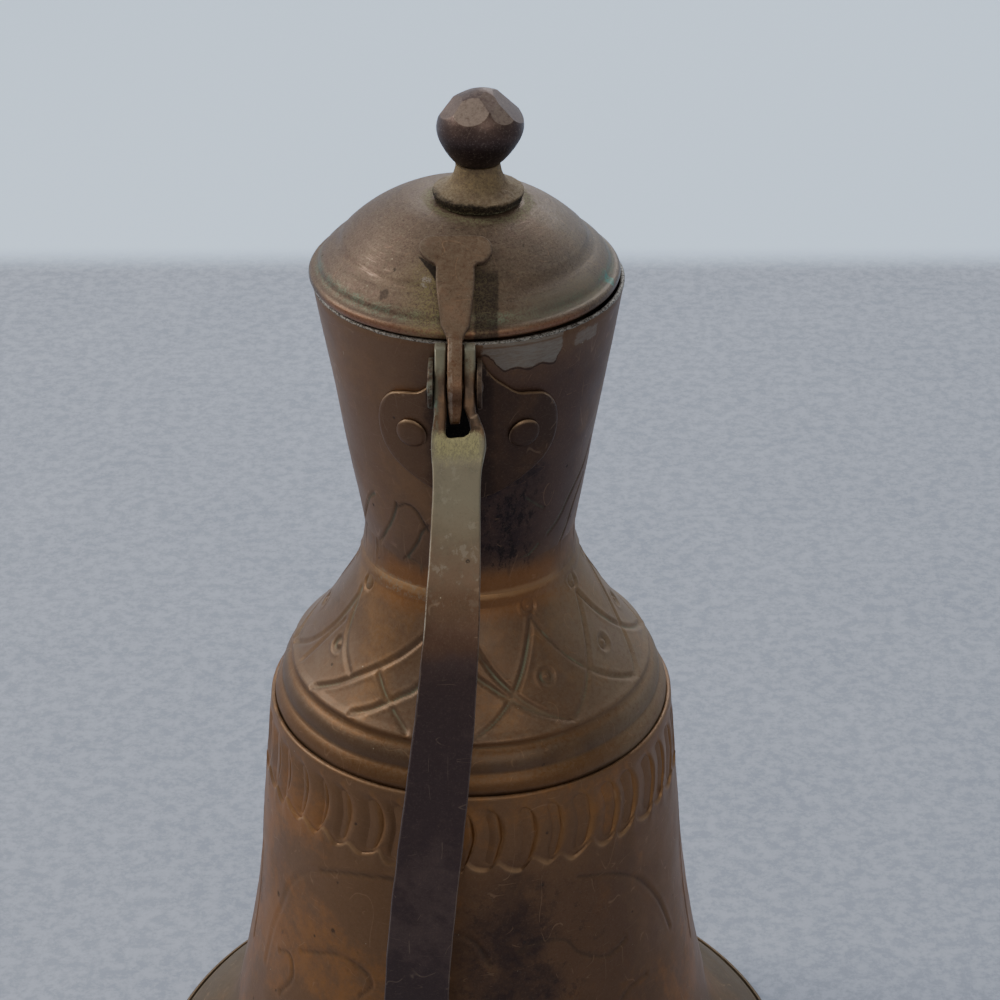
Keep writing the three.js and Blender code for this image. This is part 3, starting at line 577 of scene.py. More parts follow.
@dataclass(frozen=True)
class UpperMetal(AgedMetal):
    """The neck's copper: tin on its rim and in one patch below it, dark stains on one side."""

    tin: Rgb = rgb(148, 144, 132)
    stain: Rgb = rgb(36, 29, 30)

    def local(self, shader: Shader) -> None:
        """Painted shade on the neck's right side, the stains on it, painted light making its left side a
        paler brown, and the glow and a painted highlight at the crease.
        """
        turn, height = shader.azimuth(), shader.z
        wobble = shader.grain(10, 4, 0.6, shift=21) - 0.5
        neck = (height + wobble * 12).rise(181, 194) * (height + wobble * 14).rise(254, 238)
        # Painted shade: the neck's right side is darkened.
        side = (turn + wobble * 40).band(26, 26, 26) * neck
        shader.lay(side * 0.75, rgb(80, 61, 56))
        patch = (turn + wobble * 36).band(15, 8, 20) * (height + wobble * 24).band(206, 10, 18)
        cloud = shader.grain(4.5, 5, 0.75, shift=37).rise(0.36, 0.62)
        shader.lay(patch * (0.4 + cloud * 0.5), rgb(52, 40, 42))
        blot = shader.grain(2.3, 5, 0.85, (1, 1, 0.55), 31).rise(0.52, 0.57)
        blot = blot * (turn + wobble * 30).band(20, 9, 9) * (height + wobble * 20).band(198, 9, 12)
        shader.lay(blot * 0.8, self.stain)
        warm = (height + wobble * 5).band(179, 3.0, 5) * (turn + wobble * 20).band(0, 44, 22)
        shader.lay(warm * 0.5, rgb(154, 100, 52))
        # Painted light: the neck's left side is made a paler brown.
        brown = (turn + wobble * 30).rise(-8, -30) * (height + wobble * 14).rise(186, 196)
        shader.lay(brown * 0.5, rgb(128, 98, 74))
        mauve = shader.grain(16, 3, 0.6, shift=41).rise(0.5, 0.68) * (height + wobble * 8).rise(176, 168)
        shader.lay(mauve * 0.4, rgb(124, 104, 88))
        shader.lay(height.rise(148.4, 147.4) * 0.4, rgb(84, 64, 46))
        # Painted highlight: a pale line along the lip of the crease.
        crest = (height + wobble * 1.5).band(179.0, 0.5, 0.9) * (turn + wobble * 20).band(-4, 48, 14)
        shader.lay(crest * 0.5, rgb(176, 140, 100))
        level = height + wobble * 2
        ochre = level.band(146.6, 1.0, 1.0).most(level.band(138.6, 1.4, 1.2))
        shader.lay(ochre * 0.5, rgb(124, 82, 40))

    def settled_dust(self, shader: Shader) -> Value:
        """Green-grey dust on the shoulder, thickest on the right, and pale crumbs on the left of the crease,
        partly dust and partly a painted highlight on its lip.
        """
        turn, height = shader.azimuth(), shader.z
        wobble = shader.grain(14, 4, 0.6, shift=63) - 0.5
        low = (height + wobble * 6).rise(186, 176)
        right = (turn + wobble * 30).rise(22, 62) * 0.55
        left = (turn + wobble * 40).rise(-26, -60) * 0.12
        # Partly dust and partly a painted highlight: pale crumbs along the lip of the crease on the left.
        crease = (height + wobble * 3).band(178.4, 1.3, 1.4) * (turn + wobble * 24).band(-36, 16, 14) * 0.9
        return (low * right.most(left)).most(crease * shader.grain(1.1, 4, 0.85, shift=64).rise(0.46, 0.62))

    def last(self, shader: Shader) -> None:
        """The tin: a thin torn line along the rim, a patch below it and a scuff beside that."""
        turn, drop = shader.azimuth(), LAYOUT.rim - shader.z
        inked = shader.attribute("struck") * drop.rise(72, 70)
        shader.lay(inked * 0.55, self.stain)
        torn = shader.grain(2.2, 5, 0.75, shift=14) - 0.5
        fine = shader.grain(0.6, 4, 0.8, (1, 1, 1.6), 45)
        line = (drop + torn * 1.1 + (fine - 0.5) * 0.7).rise(0.75, 0.45)
        scallop = shader.math("SINE", turn * 0.62 + torn * 3.0)
        short = (turn + torn * 4).rise(15, 5) * 4.6 + (turn + torn * 3).rise(33, 37) * 3.0
        foot = 8.0 + scallop * 0.45 - short
        patch = (drop + torn * 0.8 - foot).rise(0.2, -0.2) * (turn + torn * 5).band(20.7, 15.2, 0.8)
        scuff = (drop + torn * 2.5).band(4.4, 1.5, 0.5) * (turn + torn * 9).band(49, 5.5, 1)
        seam = (drop + torn * 0.7).band(1.7, 0.15, 0.25)
        strokes = shader.grain(1.5, 4, 0.75, (0.5, 0.5, 2.2), 40).rise(0.3, 0.7)
        full = (turn + torn * 12).rise(6, 17) * 0.16 + 0.22
        lit = (patch * (full + strokes * 0.34)).most(scuff * (0.25 + strokes * 0.25)) * (1.0 - seam * 0.6)
        shader.lay(lit, self.tin)
        rim_tint = shader.blend(fine.rise(0.38, 0.6), self.stain, rgb(176, 174, 166))
        shader.lay(line * 0.85, rim_tint)
        outline = (drop + torn * 0.8 - foot).band(0.4, 0.12, 0.25) * (turn + torn * 5).band(20.7, 15.2, 0.8)
        shader.lay(outline * 0.6, self.stain)
        shader.rough += line * 0.15


@dataclass(frozen=True)
class BodyMetal(AgedMetal):
    """The body's copper: a side darkened as painted shade, and green-grey dust towards the foot."""

    def local(self, shader: Shader) -> None:
        """Painted shade on one side, a painted dark reflection, stains, painted light on the crescents, and
        the dusty flare.
        """
        turn, height = shader.azimuth(), shader.z
        wobble = shader.grain(16, 5, 0.7, shift=21) - 0.5
        # Painted shade: the front-right of the lower body is darkened.
        side = (turn + wobble * 60).band(24, 16, 30) * (height + wobble * 40).rise(132, 96)
        shader.lay(side * 0.5, rgb(86, 64, 53))
        # Painted reflection: a mottled dark patch right of the front, where something dark is mirrored.
        painted_dark_reflection = (turn + wobble * 44).band(11, 2, 15) * (height + wobble * 50).band(82, 10, 26)
        cloud = shader.grain(5, 5, 0.75, shift=33).rise(0.36, 0.64)
        shader.lay(painted_dark_reflection * (0.5 + cloud * 0.35), rgb(56, 43, 43))
        blots = shader.grain(3.4, 3, 0.7, shift=35).rise(0.54, 0.66) * (turn + wobble * 40).band(16, 12, 12)
        shader.lay(blots * (height + wobble * 30).band(84, 16, 14) * 0.35, rgb(48, 38, 40))
        # Painted light: the crescents' walls that face the light are made a lit ochre.
        shader.lay(shader.attribute("wall") * 0.5, rgb(152, 108, 62))
        # Partly wear and partly a painted highlight: a bright line along the foot of the crescents.
        shader.lay(shader.attribute("ridge") * 0.5, rgb(188, 152, 112))
        flare = self.flare(shader)
        shader.lay(flare * 0.75, rgb(84, 79, 68))
        shader.rough += flare * 0.2

    def last(self, shader: Shader) -> None:
        """Dirt in the struck lines."""
        shader.lay(shader.attribute("struck") * 0.32, rgb(58, 43, 34))

    def settled_dust(self, shader: Shader) -> Value:
        """Dust on the flare, thick on the foot's fold."""
        fold = shader.z.rise(LAYOUT.foot + 3, LAYOUT.foot + 0.5)
        return (self.flare(shader) * 0.1).most(fold * 0.4)

    def flare(self, shader: Shader) -> Value:
        """From 0 above the flare to 1 at the foot."""
        wobble = shader.grain(16, 5, 0.7, shift=21) - 0.5
        return (shader.z + wobble * 10).rise(44, 18)


@dataclass(frozen=True)
class TurnedMetal(AgedMetal):
    """The lid's copper: turning lines, and verdigris in a ring round the knob and in the cove."""

    axis: Point = (-1.0, 0.0)
    knob: Point = (2.4, -2.5)
    bead: Rgb = rgb(150, 104, 78)

    def local(self, shader: Shader) -> None:
        """Streaks along the turning lines, and the bare copper of the rolled edge."""
        streak = self.lines(shader)
        shader.shade(0.82 + streak.rise(0.3, 0.75) * 0.34)
        wobble = shader.grain(9, 4, 0.7, shift=83) - 0.5
        across = shader.x + wobble * 14
        shader.lay(across.rise(-4, -24) * 0.45, rgb(92, 70, 62))
        shader.lay(across.rise(8, 30) * 0.45, rgb(116, 112, 104))
        bare = shader.z.rise(LAYOUT.rim + 3.4, LAYOUT.rim + 2.2)
        front = (shader.azimuth() + wobble * 16).band(-8, 44, 20)
        shader.lay(bare * 0.75, shader.blend(front, rgb(92, 74, 62), self.bead))
        shader.rough -= streak.rise(0.5, 0.8) * 0.06 + bare * 0.1

    def last(self, shader: Shader) -> None:
        """Verdigris round the skirt and in the cove, a spot of it on the right, a painted shadow beside the
        stem, a painted shadow under the left lobe and a painted glint on the turning lines.
        """
        torn = shader.grain(2.6, 4, 0.75, shift=17)
        tear = torn - 0.5
        gritty = shader.grain(0.5, 4, 0.8, shift=19).rise(0.42, 0.58)
        lid = self.ring(shader, self.axis)
        knob = self.ring(shader, self.knob)
        x, y = shader.x, shader.y
        front = y.rise(6, -12)
        near = (knob + tear * 2.4).band(11.9, 0.5, 0.9).most(
            (knob + tear * 5).band(13.4, 0.3, 0.9) * torn.rise(0.44, 0.56) * 0.7)
        cove = (lid + tear * 1.2).band(35.5, 0.35, 1.0) * torn.rise(0.36, 0.56) * (0.4 + front * 0.6)
        shader.lay(near * gritty * 0.7, rgb(142, 142, 108))
        shader.lay(cove * gritty * 0.7, self.verdigris)
        # Painted shadow: a dark stripe that the strap's stem casts on the dome, right of the stem.
        shade = (x - 4.4 + tear * 1.5).band(0, 2.4, 0.8) * (y + tear * 2).rise(-25.5, -27.5)
        shader.lay(shade * 0.75, rgb(44, 35, 33))
        stem = abs(x + 2.75) - 4.5
        beside_stem = stem.rise(11, 0.5) * (y + tear * 5).rise(-21, -29)
        beside_stem = beside_stem * (x + 2.75).rise(6, -1).most(0.3)
        shader.lay(beside_stem * gritty * 0.75, rgb(150, 140, 98))
        # Painted shadow: the dark gap under the strap's left lobe.
        along = x + 11.8
        painted_lobe_shadow = abs(y + 26.5 + (x + 7.8) * 1.05 + tear * 1.2) - along * 0.28
        painted_lobe_shadow = painted_lobe_shadow.rise(0.35, -0.15) * along.rise(-0.2, 0.8) * x.rise(-5.4, -6.2)
        shader.lay(painted_lobe_shadow * 0.9, rgb(34, 26, 26))
        crumbs = (x + 9.6 + tear * 3).band(0, 0.9, 0.6) * (y + 27.9 + tear * 3).band(0, 0.3, 0.5)
        crumbs = crumbs * shader.grain(0.45, 3, 0.8, shift=97).rise(0.42, 0.56)
        shader.lay(crumbs * 0.8, rgb(168, 160, 150))
        pale = (lid + tear * 1.5).band(34.8, 1.4, 1.4) * (shader.azimuth() + tear * 30).band(42, 14, 14)
        shader.lay(pale * 0.5, rgb(132, 124, 108))
        sand = front * gritty * shader.grain(9, 3, 0.6, shift=58).rise(0.42, 0.7)
        shader.lay(sand * 0.4, rgb(142, 124, 100))
        streak = self.lines(shader).rise(0.54, 0.66) * (lid + tear * 4).band(28.5, 2.4, 1.5)
        glint = streak * (shader.azimuth() + tear * 30).band(-44, 9, 8)
        shader.lay(glint * 0.55, rgb(176, 146, 124))
        spot = (x - 33.7).band(0, 0.8, 0.5) * (y + 10.8).band(0, 1.2, 0.6)
        shader.lay(spot * gritty * 0.8, rgb(72, 150, 138))
        blot = (x + 19.5).band(0, 0.7, 0.7) * (y + 27.3).band(0, 0.7, 0.7)
        shader.lay(blot * 0.6, self.dirt)
        shader.rough += near * 0.2 + beside_stem * 0.15

    def ring(self, shader: Shader, middle: Point) -> Value:
        """The distance from an upright line through a middle."""
        x, y = shader.x - middle[0], shader.y - middle[1]
        return shader.math("SQRT", x * x + y * y)

    def lines(self, shader: Shader) -> Value:
        """The turning lines, as noise that changes across them only, broken up along them."""
        node = shader.node("ShaderNodeCombineXYZ", {}, {
            0: self.ring(shader, self.axis) * 1.35, 1: shader.azimuth() * 0.035, 2: 3.0})
        streaks = shader.node("ShaderNodeTexNoise", {"noise_dimensions": "3D"}, {
            "Vector": Arrow(shader, node.outputs[0]), "Scale": 1.0, "Detail": 4.0, "Roughness": 0.75})
        return Value(shader, streaks.outputs["Fac"])

    def height(self, shader: Shader) -> Value:
        """The turning lines over the fine relief."""
        return super().height(shader) * 0.6 + self.lines(shader) * 2.6


@dataclass(frozen=True)
class TongueMetal(AgedMetal):
    """The lid strap's copper, redder on the tongue."""

    def local(self, shader: Shader) -> None:
        """The ruddy tongue, with a painted highlight along its left edge, broken up like a pale rub."""
        side, out = shader.x - LAYOUT.pivot.x, 0.0 - shader.y
        wobble = shader.grain(5, 4, 0.7, shift=87) - 0.5
        tongue = (out + wobble * 3).rise(39.5, 42)
        shader.lay(tongue * 0.7, rgb(108, 74, 52))
        # Painted highlight: a pale streak along the tongue's left edge, broken up by grain.
        rub = tongue * (side + wobble).band(-1.1, 0.35, 0.3)
        shader.lay(rub * shader.grain(2, 4, 0.8, shift=88).rise(0.4, 0.55) * 0.6, rgb(166, 150, 134))


@dataclass(frozen=True)
class KnobMetal(AgedMetal):
    """The knob's copper: grit, partly a painted highlight, on the facets in front, and painted shade
    underneath.
    """

    def local(self, shader: Shader) -> None:
        """The lower half darkened black-brown as painted shade."""
        height = shader.z - LAYOUT.lid_top
        wobble = shader.grain(4, 4, 0.7, shift=91) - 0.5
        # Painted shade: the knob's lower half is darkened.
        shader.lay((height + wobble * 5).rise(20, 15) * 0.75, rgb(36, 28, 28))

    def settled_dust(self, shader: Shader) -> Value:
        """Pale grit on the facets that face up and forward, partly a painted highlight on them."""
        # Partly grit and partly a painted highlight on the lit facets in front.
        front = shader.facing.part("Y").rise(-0.3, -0.5) * shader.facing.part("Z").rise(0.45, 0.6)
        across = shader.facing.part("X")
        return front * across.band(-0.25, 0.16, 0.1).most(across.band(0.5, 0.1, 0.1)) * 0.55


@dataclass(frozen=True)
class StrapMetal(AgedMetal):
    """The handle's metal: pale at the top, partly as painted light where it faces up, purple-brown from its
    outer bend down.
    """

    pale: Rgb = rgb(140, 133, 113)
    warm: Rgb = rgb(124, 101, 82)
    fringe: Rgb = rgb(200, 192, 146)

    def local(self, shader: Shader) -> None:
        """The change of colour down the strap."""
        height = shader.z
        wobble = shader.grain(12, 4, 0.65, shift=13) - 0.5
        cloud = shader.grain(5, 4, 0.7, shift=5)
        # Partly the metal's own pale, rubbed tone and partly painted light: paler where the strap faces up,
        # above its outer bend.
        pale = shader.blend((height + wobble * 14).rise(228, 212), self.pale, self.warm)
        pale = shader.blend(cloud.rise(0.45, 0.7) * 0.35, pale, rgb(112, 106, 90))
        rub = shader.grain(2.4, 3, 0.7, (1, 1, 0.5), 51).rise(0.56, 0.66)
        pale = shader.blend(rub * 0.3, pale, rgb(170, 164, 148))
        shader.lay((height + wobble * 5).rise(202, 209), pale)
        brown = (height + wobble * 5).band(205, 4, 5)
        shader.lay(brown * 0.6, rgb(92, 64, 44))
        fork = (height + wobble * 3).rise(237.5, 240)
        ruddy = shader.grain(4, 4, 0.7, (1, 1, 0.4), 53).rise(0.4, 0.62)
        shader.lay(fork * 0.9, shader.blend(ruddy, rgb(74, 55, 44), rgb(104, 75, 53)))
        shader.rough += (height.rise(202, 209) - fork) * 0.08

    def last(self, shader: Shader) -> None:
        """The crust on the fork and the pale fringe under the hole."""
        height, side = shader.z, shader.x - LAYOUT.pivot.x
        torn = shader.grain(1.3, 4, 0.75, shift=18) - 0.5
        crust = shader.grain(2.2, 5, 0.75, shift=61)
        top = (height + torn * 3).rise(250, 253) * crust.rise(0.3, 0.5)
        left = side.rise(-3.4, -4.4) * (height + torn * 2).band(246, 6, 2) * crust.rise(0.4, 0.5)
        shader.lay(top.most(left * 0.8) * 0.7, rgb(140, 140, 120))
        green = left * shader.grain(3, 4, 0.7, shift=66).rise(0.5, 0.62)
        shader.lay(green * 0.6, rgb(92, 124, 112))
        hairs = shader.grain(0.7, 4, 0.85, (1.6, 1.6, 0.5), 71).rise(0.36, 0.62)
        ragged = shader.grain(1.1, 4, 0.85, (1.5, 1.5, 0.4), 73) - 0.5
        fringe = (height + ragged * 5.5).rise(232.2, 236.6) * (height + ragged * 4.0).rise(240.4, 238.6)
        fringe = fringe * (side + torn * 2).band(0.6, 4.2, 2.2)
        shader.lay(fringe * (0.35 + hairs * 0.8), self.fringe)
        glint = side.rise(-3, -4.5) * (height + torn * 6).band(211, 7, 4) * crust.rise(0.35, 0.5)
        shader.lay(shader.attribute("edge").rise(0.3, 0.9) * glint, rgb(196, 186, 166))
        shader.rough += fringe * 0.3 + left * 0.2


@dataclass(frozen=True)
class PlateMetal(AgedMetal):
    """The hinge plate's metal: like the neck on the left, darker behind the fork and to its right."""

    def local(self, shader: Shader) -> None:
        """Darker behind the fork and to its right, black as painted shade behind the hole, and the brown left
        wing.
        """
        side, height = shader.x - LAYOUT.pivot.x, shader.z
        wobble = shader.grain(7, 4, 0.7, shift=12) - 0.5
        shader.lay((side + wobble * 7).rise(-3, -8) * 0.8, rgb(114, 86, 64))
        darker_behind_fork = (side + wobble * 7).band(2, 5, 6)
        right = (side + wobble * 9).rise(2, 12) * 0.7
        shader.lay(darker_behind_fork.most(right) * 0.8, rgb(50, 39, 37))
        # Painted shade: black on the plate where it is seen through the hole in the handle.
        painted_hole_shade = (side + wobble * 2).band(0.3, 3.6, 1.4) * (height + wobble * 2).band(233, 11, 4)
        shader.lay(painted_hole_shade * 0.97, rgb(12, 9, 8))
        ears = abs(side).rise(4.0, 4.4) * abs(side).rise(7.4, 6.8) * height.rise(235, 239)
        shader.lay(ears * 0.85, rgb(62, 49, 42))
        shader.rough += darker_behind_fork * 0.15 + painted_hole_shade * 0.3

    def last(self, shader: Shader) -> None:
        """Bare, dusty metal on the edge that faces up."""
        side, height = shader.x - LAYOUT.pivot.x, shader.z
        up = shader.facing.part("Z").rise(0.2, 0.55) * height.rise(LAYOUT.rim - 6, LAYOUT.rim - 9)
        speck = shader.grain(0.8, 3, 0.7, shift=2)
        shader.lay(up * (0.35 + speck), rgb(158, 132, 104))
        crust = shader.grain(1.6, 5, 0.8, shift=61).rise(0.46, 0.6)
        left = side.rise(-4.0, -4.8) * side.rise(-7.6, -6.8) * height.rise(238, 242)
        shader.lay(left * crust * 0.7, rgb(136, 140, 124))


@dataclass(frozen=True)
class SkirtMetal(AgedMetal):
    """The knob's skirt: gritty olive brass, black under its edge, partly with dirt and partly as painted
    shade.
    """

    def last(self, shader: Shader) -> None:
        """Grit all over, and black along the foot, partly dirt and partly painted shade."""
        height = shader.z - LAYOUT.lid_top
        grit = shader.grain(0.6, 4, 0.9, shift=77)
        golden = (height + (grit - 0.5) * 3).rise(3.2, 6)
        pale = shader.blend(golden, rgb(150, 137, 116), rgb(156, 136, 98))
        shader.lay(grit.rise(0.46, 0.6) * 0.75, pale)
        shader.lay(grit.rise(0.45, 0.35) * 0.6, rgb(52, 41, 28))
        cloud = shader.grain(4, 4, 0.7, shift=79).rise(0.45, 0.65)
        shader.lay(cloud * 0.4, rgb(96, 78, 66))
        torn = shader.grain(1.5, 4, 0.75, shift=15) - 0.5
        # Partly dirt and partly painted shade: a black band along the skirt's foot, wider at the front left.
        thick = 2.2 + (shader.azimuth() + torn * 20).band(-30, 30, 40) * 0.6
        under = (height + torn * 1.1 - thick).rise(0.5, -0.3)
        shader.lay(under * 0.9, shader.blend(grit.rise(0.5, 0.6), rgb(26, 20, 15), rgb(84, 72, 50)))
        seat = (height + torn * 1.4).rise(1.0, 0.5) * grit.rise(0.44, 0.56)
        shader.lay(seat * 0.8, rgb(134, 132, 104))
        shader.rough += 0.15


# Meshes


class Piece:
    """A mesh in the making, in millimetres, and the object that it becomes."""

    def __init__(self, name: str) -> None:
        self.name = name
        self.mesh = bmesh.new()

    def turn(self, profile: Sequence[Point], steps: int, closed: bool, middle: Point = (0, 0)) -> None:
        """Spins a profile of (radius, height) points round an upright axis.

        Args:
            profile: The profile's points.
            steps: How many faces there are round the axis.
            closed: Whether the last point joins the first one.
            middle: Where the axis is.
        """
        points = [self.mesh.verts.new((radius, 0, height)) for radius, height in profile]
        pairs = [*zip(points, points[1:])]
        if closed:
            pairs.append((points[-1], points[0]))
        edges = [self.mesh.edges.new(pair) for pair in pairs]
        bmesh.ops.spin(
            self.mesh, geom=points + edges, cent=(0, 0, 0), axis=(0, 0, 1), angle=math.tau,
            steps=steps, use_merge=True)
        bmesh.ops.remove_doubles(self.mesh, verts=self.mesh.verts, dist=1e-4)
        self.face_out()
        bmesh.ops.translate(self.mesh, verts=self.mesh.verts, vec=(*middle, 0))

    def slab(self, outline: Sequence[Point], low: float, high: float) -> None:
        """A plate with an outline in X and Y, from one height to another."""
        face = self.mesh.faces.new([self.mesh.verts.new((x, y, low)) for x, y in outline])
        made = bmesh.ops.extrude_face_region(self.mesh, geom=[face])
        top = [part for part in made["geom"] if isinstance(part, bmesh.types.BMVert)]
        bmesh.ops.translate(self.mesh, verts=top, vec=(0, 0, high - low))
        self.face_out()

    def soften(self, width: float, segments: int = 2, angle: float = 35) -> None:
        """Rounds every edge that is sharper than an angle."""
        sharp = [e for e in self.mesh.edges if e.is_manifold and e.calc_face_angle() > math.radians(angle)]
        bmesh.ops.bevel(
            self.mesh, geom=sharp, offset=width, offset_type="OFFSET", affect="EDGES",
            segments=segments, profile=0.5, material=-1, clamp_overlap=True)

    def slice(self, axis: int, stops: Sequence[float]) -> None:
        """Cuts rows of points into the faces, square to an axis."""
        for stop in stops:
            middle, normal = Vector(), Vector()
            middle[axis], normal[axis] = stop, 1
            self.cut(middle, normal)

    def cut(self, place: Vector, normal: Vector, clear: bool = False) -> list[bmesh.types.BMEdge]:
        """Cuts the faces along a plane.

        Args:
            place: A point of the plane.
            normal: The direction square to it.
            clear: Whether what lies past it goes.

        Returns:
            The new edges.
        """
        made = bmesh.ops.bisect_plane(
            self.mesh, geom=[*self.mesh.verts, *self.mesh.edges, *self.mesh.faces], plane_co=place,
            plane_no=normal, clear_outer=clear, dist=1e-4)
        return [part for part in made["geom_cut"] if isinstance(part, bmesh.types.BMEdge)]

    def move(self, change: Callable[[Vector], Vector]) -> None:
        """Moves every point to where a function puts it, and turns the faces outward again."""
        for point in self.mesh.verts:
            point.co = change(point.co)
        self.face_out()

    def place(self, matrix: Matrix) -> None:
        """Moves and turns the whole piece."""
        bmesh.ops.transform(self.mesh, matrix=matrix, verts=self.mesh.verts)

    def swell(self, amount: Callable[[Vector], float]) -> None:
        """Moves every point along its normal by what a function gives."""
        self.mesh.normal_update()
        shifts = [point.normal * amount(point.co) for point in self.mesh.verts]
        for point, shift in zip(self.mesh.verts, shifts):
            point.co += shift

    def dent(self, size: float, depth: float) -> None:
        """Gives the surface soft, hand-made unevenness of a size and a depth."""
        self.swell(lambda place: depth * noise.noise(place / size))

    def face_out(self) -> None:
        """Turns all faces outward."""
        bmesh.ops.recalc_face_normals(self.mesh, faces=self.mesh.faces)

    def finish(self, material: Material, body: Body, slot: Slot, *nodes: str,
               crease: float = 40) -> None:
        """Makes the object, in metres.

        Args:
            material: Its finish.
            body: The body that it moves with.
            slot: The record's material slot. It is not used.
            nodes: The CAD nodes that it stands for.
            crease: The angle past which an edge stays sharp, in degrees.
        """
        bmesh.ops.scale(self.mesh, vec=(MM, MM, MM), verts=self.mesh.verts)
        data = bpy.data.meshes.new(self.name)
        self.mesh.to_mesh(data)
        self.mesh.free()
        data.polygons.foreach_set("use_smooth", [True] * len(data.polygons))
        data.set_sharp_from_angle(angle=math.radians(crease))
        stamp_wear(data)
        piece = bpy.data.objects.new(self.name, data)
        bpy.context.scene.collection.objects.link(piece)
        data.materials.append(material)
        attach(piece, body.value)
        if nodes:
            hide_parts(*nodes)
        LOG.info("%s: %d faces for %s", self.name, len(data.polygons), ", ".join(nodes) or "itself")


def stamp_wear(data: bpy.types.Mesh) -> None:
    """Stores how sharply the surface bulges, as edge, and how sharply it sinks, as groove."""
    count = len(data.vertices)
    places, normals = np.empty(count * 3), np.empty(count * 3)
    data.vertices.foreach_get("co", places)
    data.vertices.foreach_get("normal", normals)
    places, normals = places.reshape(-1, 3), normals.reshape(-1, 3)
    ends = np.empty(len(data.edges) * 2, int)
    data.edges.foreach_get("vertices", ends)
    first, second = ends.reshape(-1, 2).T
    step = places[second] - places[first]
    length = np.maximum((step ** 2).sum(1), 1e-12)
    curve = ((normals[second] - normals[first]) * step).sum(1) / length
    total, weight = np.zeros(count), np.zeros(count)
    for ends_of in (first, second):
        np.add.at(total, ends_of, curve)
        np.add.at(weight, ends_of, 1)
    mean = total / np.maximum(weight, 1)
    for name, low, high in (("edge", 220, 1400), ("groove", -90, -800)):
        values = np.clip((mean - low) / (high - low), 0, 1)
        data.attributes.new(name, "FLOAT", "POINT").data.foreach_set("value", values.astype(np.float32))


# Chasing


@dataclass(frozen=True)
class Stroke:
    """A line struck into a turned shell through points of (azimuth, height), or a ring round one.

    Its ink is how much dirt it holds, from 0 to 1.
    """

    stops: tuple[Point, ...]
    width: float = 0.75
    depth: float = 0.5
    lip: float = 0.16
    ring: float = 0.0
    ink: float = 0.5


class Chaser:
    """Strikes lines and dimples into the outside of a turned shell."""

    spacing = 0.3

    def __init__(self, line: Sequence[Point]) -> None:
        self.line = line
        self.samples: list[tuple[Vector, Stroke]] = []

    def strike(self, stroke: Stroke) -> None:
        """Adds a stroke."""
        path = through(stroke.stops, 12) if len(stroke.stops) > 1 else [*stroke.stops]
        solid = [on_shell(self.line, *stop) for stop in path]
        if len(solid) == 1:
            self.samples.append((solid[0], stroke))
        for a, b in zip(solid, solid[1:]):
            count = max(int((b - a).length / self.spacing), 1)
            self.samples += [(a.lerp(b, i / count), stroke) for i in range(count)]

    def work(self, piece: Piece, low: float, high: float) -> None:
        """Moves the points of a piece between two heights as the strokes say."""
        tree = KDTree(len(self.samples))
        for i, (place, _) in enumerate(self.samples):
            tree.insert(place, i)
        tree.balance()
        struck = piece.mesh.verts.layers.float.new("struck")
        piece.mesh.normal_update()
        shifts = []
        for point in piece.mesh.verts:
            flat = math.hypot(point.co.x, point.co.y)
            if low < point.co.z < high and flat > radius_at(self.line, point.co.z) - 1.0:
                _, index, distance = tree.find(point.co)
                stroke = self.samples[index][1]
                across = abs(distance - stroke.ring) / stroke.width
                groove = math.exp(-across ** 2)
                lip = math.exp(-((across - 2) / 0.8) ** 2) * stroke.lip
                point[struck] = groove * stroke.ink
                shifts.append((point, point.normal * (lip - groove * stroke.depth)))
        for point, shift in shifts:
            point.co += shift


def lattice(feet: Sequence[float], foot: float, apex: float, lean: float, stroke: Stroke) -> list[Stroke]:
    """Interlaced arcs from each foot to the apexes over the feet beside it.

    Args:
        feet: Azimuths of the feet, in order.
        foot: Height of the feet.
        apex: Height of the apexes.
        lean: How far an apex lies from over its foot, in degrees.
        stroke: The stroke whose width and depth the arcs have.

    Returns:
        The arcs as strokes.
    """
    arcs = []
    for start, end in zip(feet, feet[1:]):
        for here, there in ((start, end + lean), (end, start + lean)):
            stops = tuple((mix(here, there, share), mix(foot, apex, share - sag)) for share, sag in (
                (0, 0), (0.2, 0.1), (0.42, 0.16), (0.65, 0.16), (0.85, 0.09), (1, 0)))
            arcs.append(replace(stroke, stops=stops))
    return arcs


# Sub-assemblies


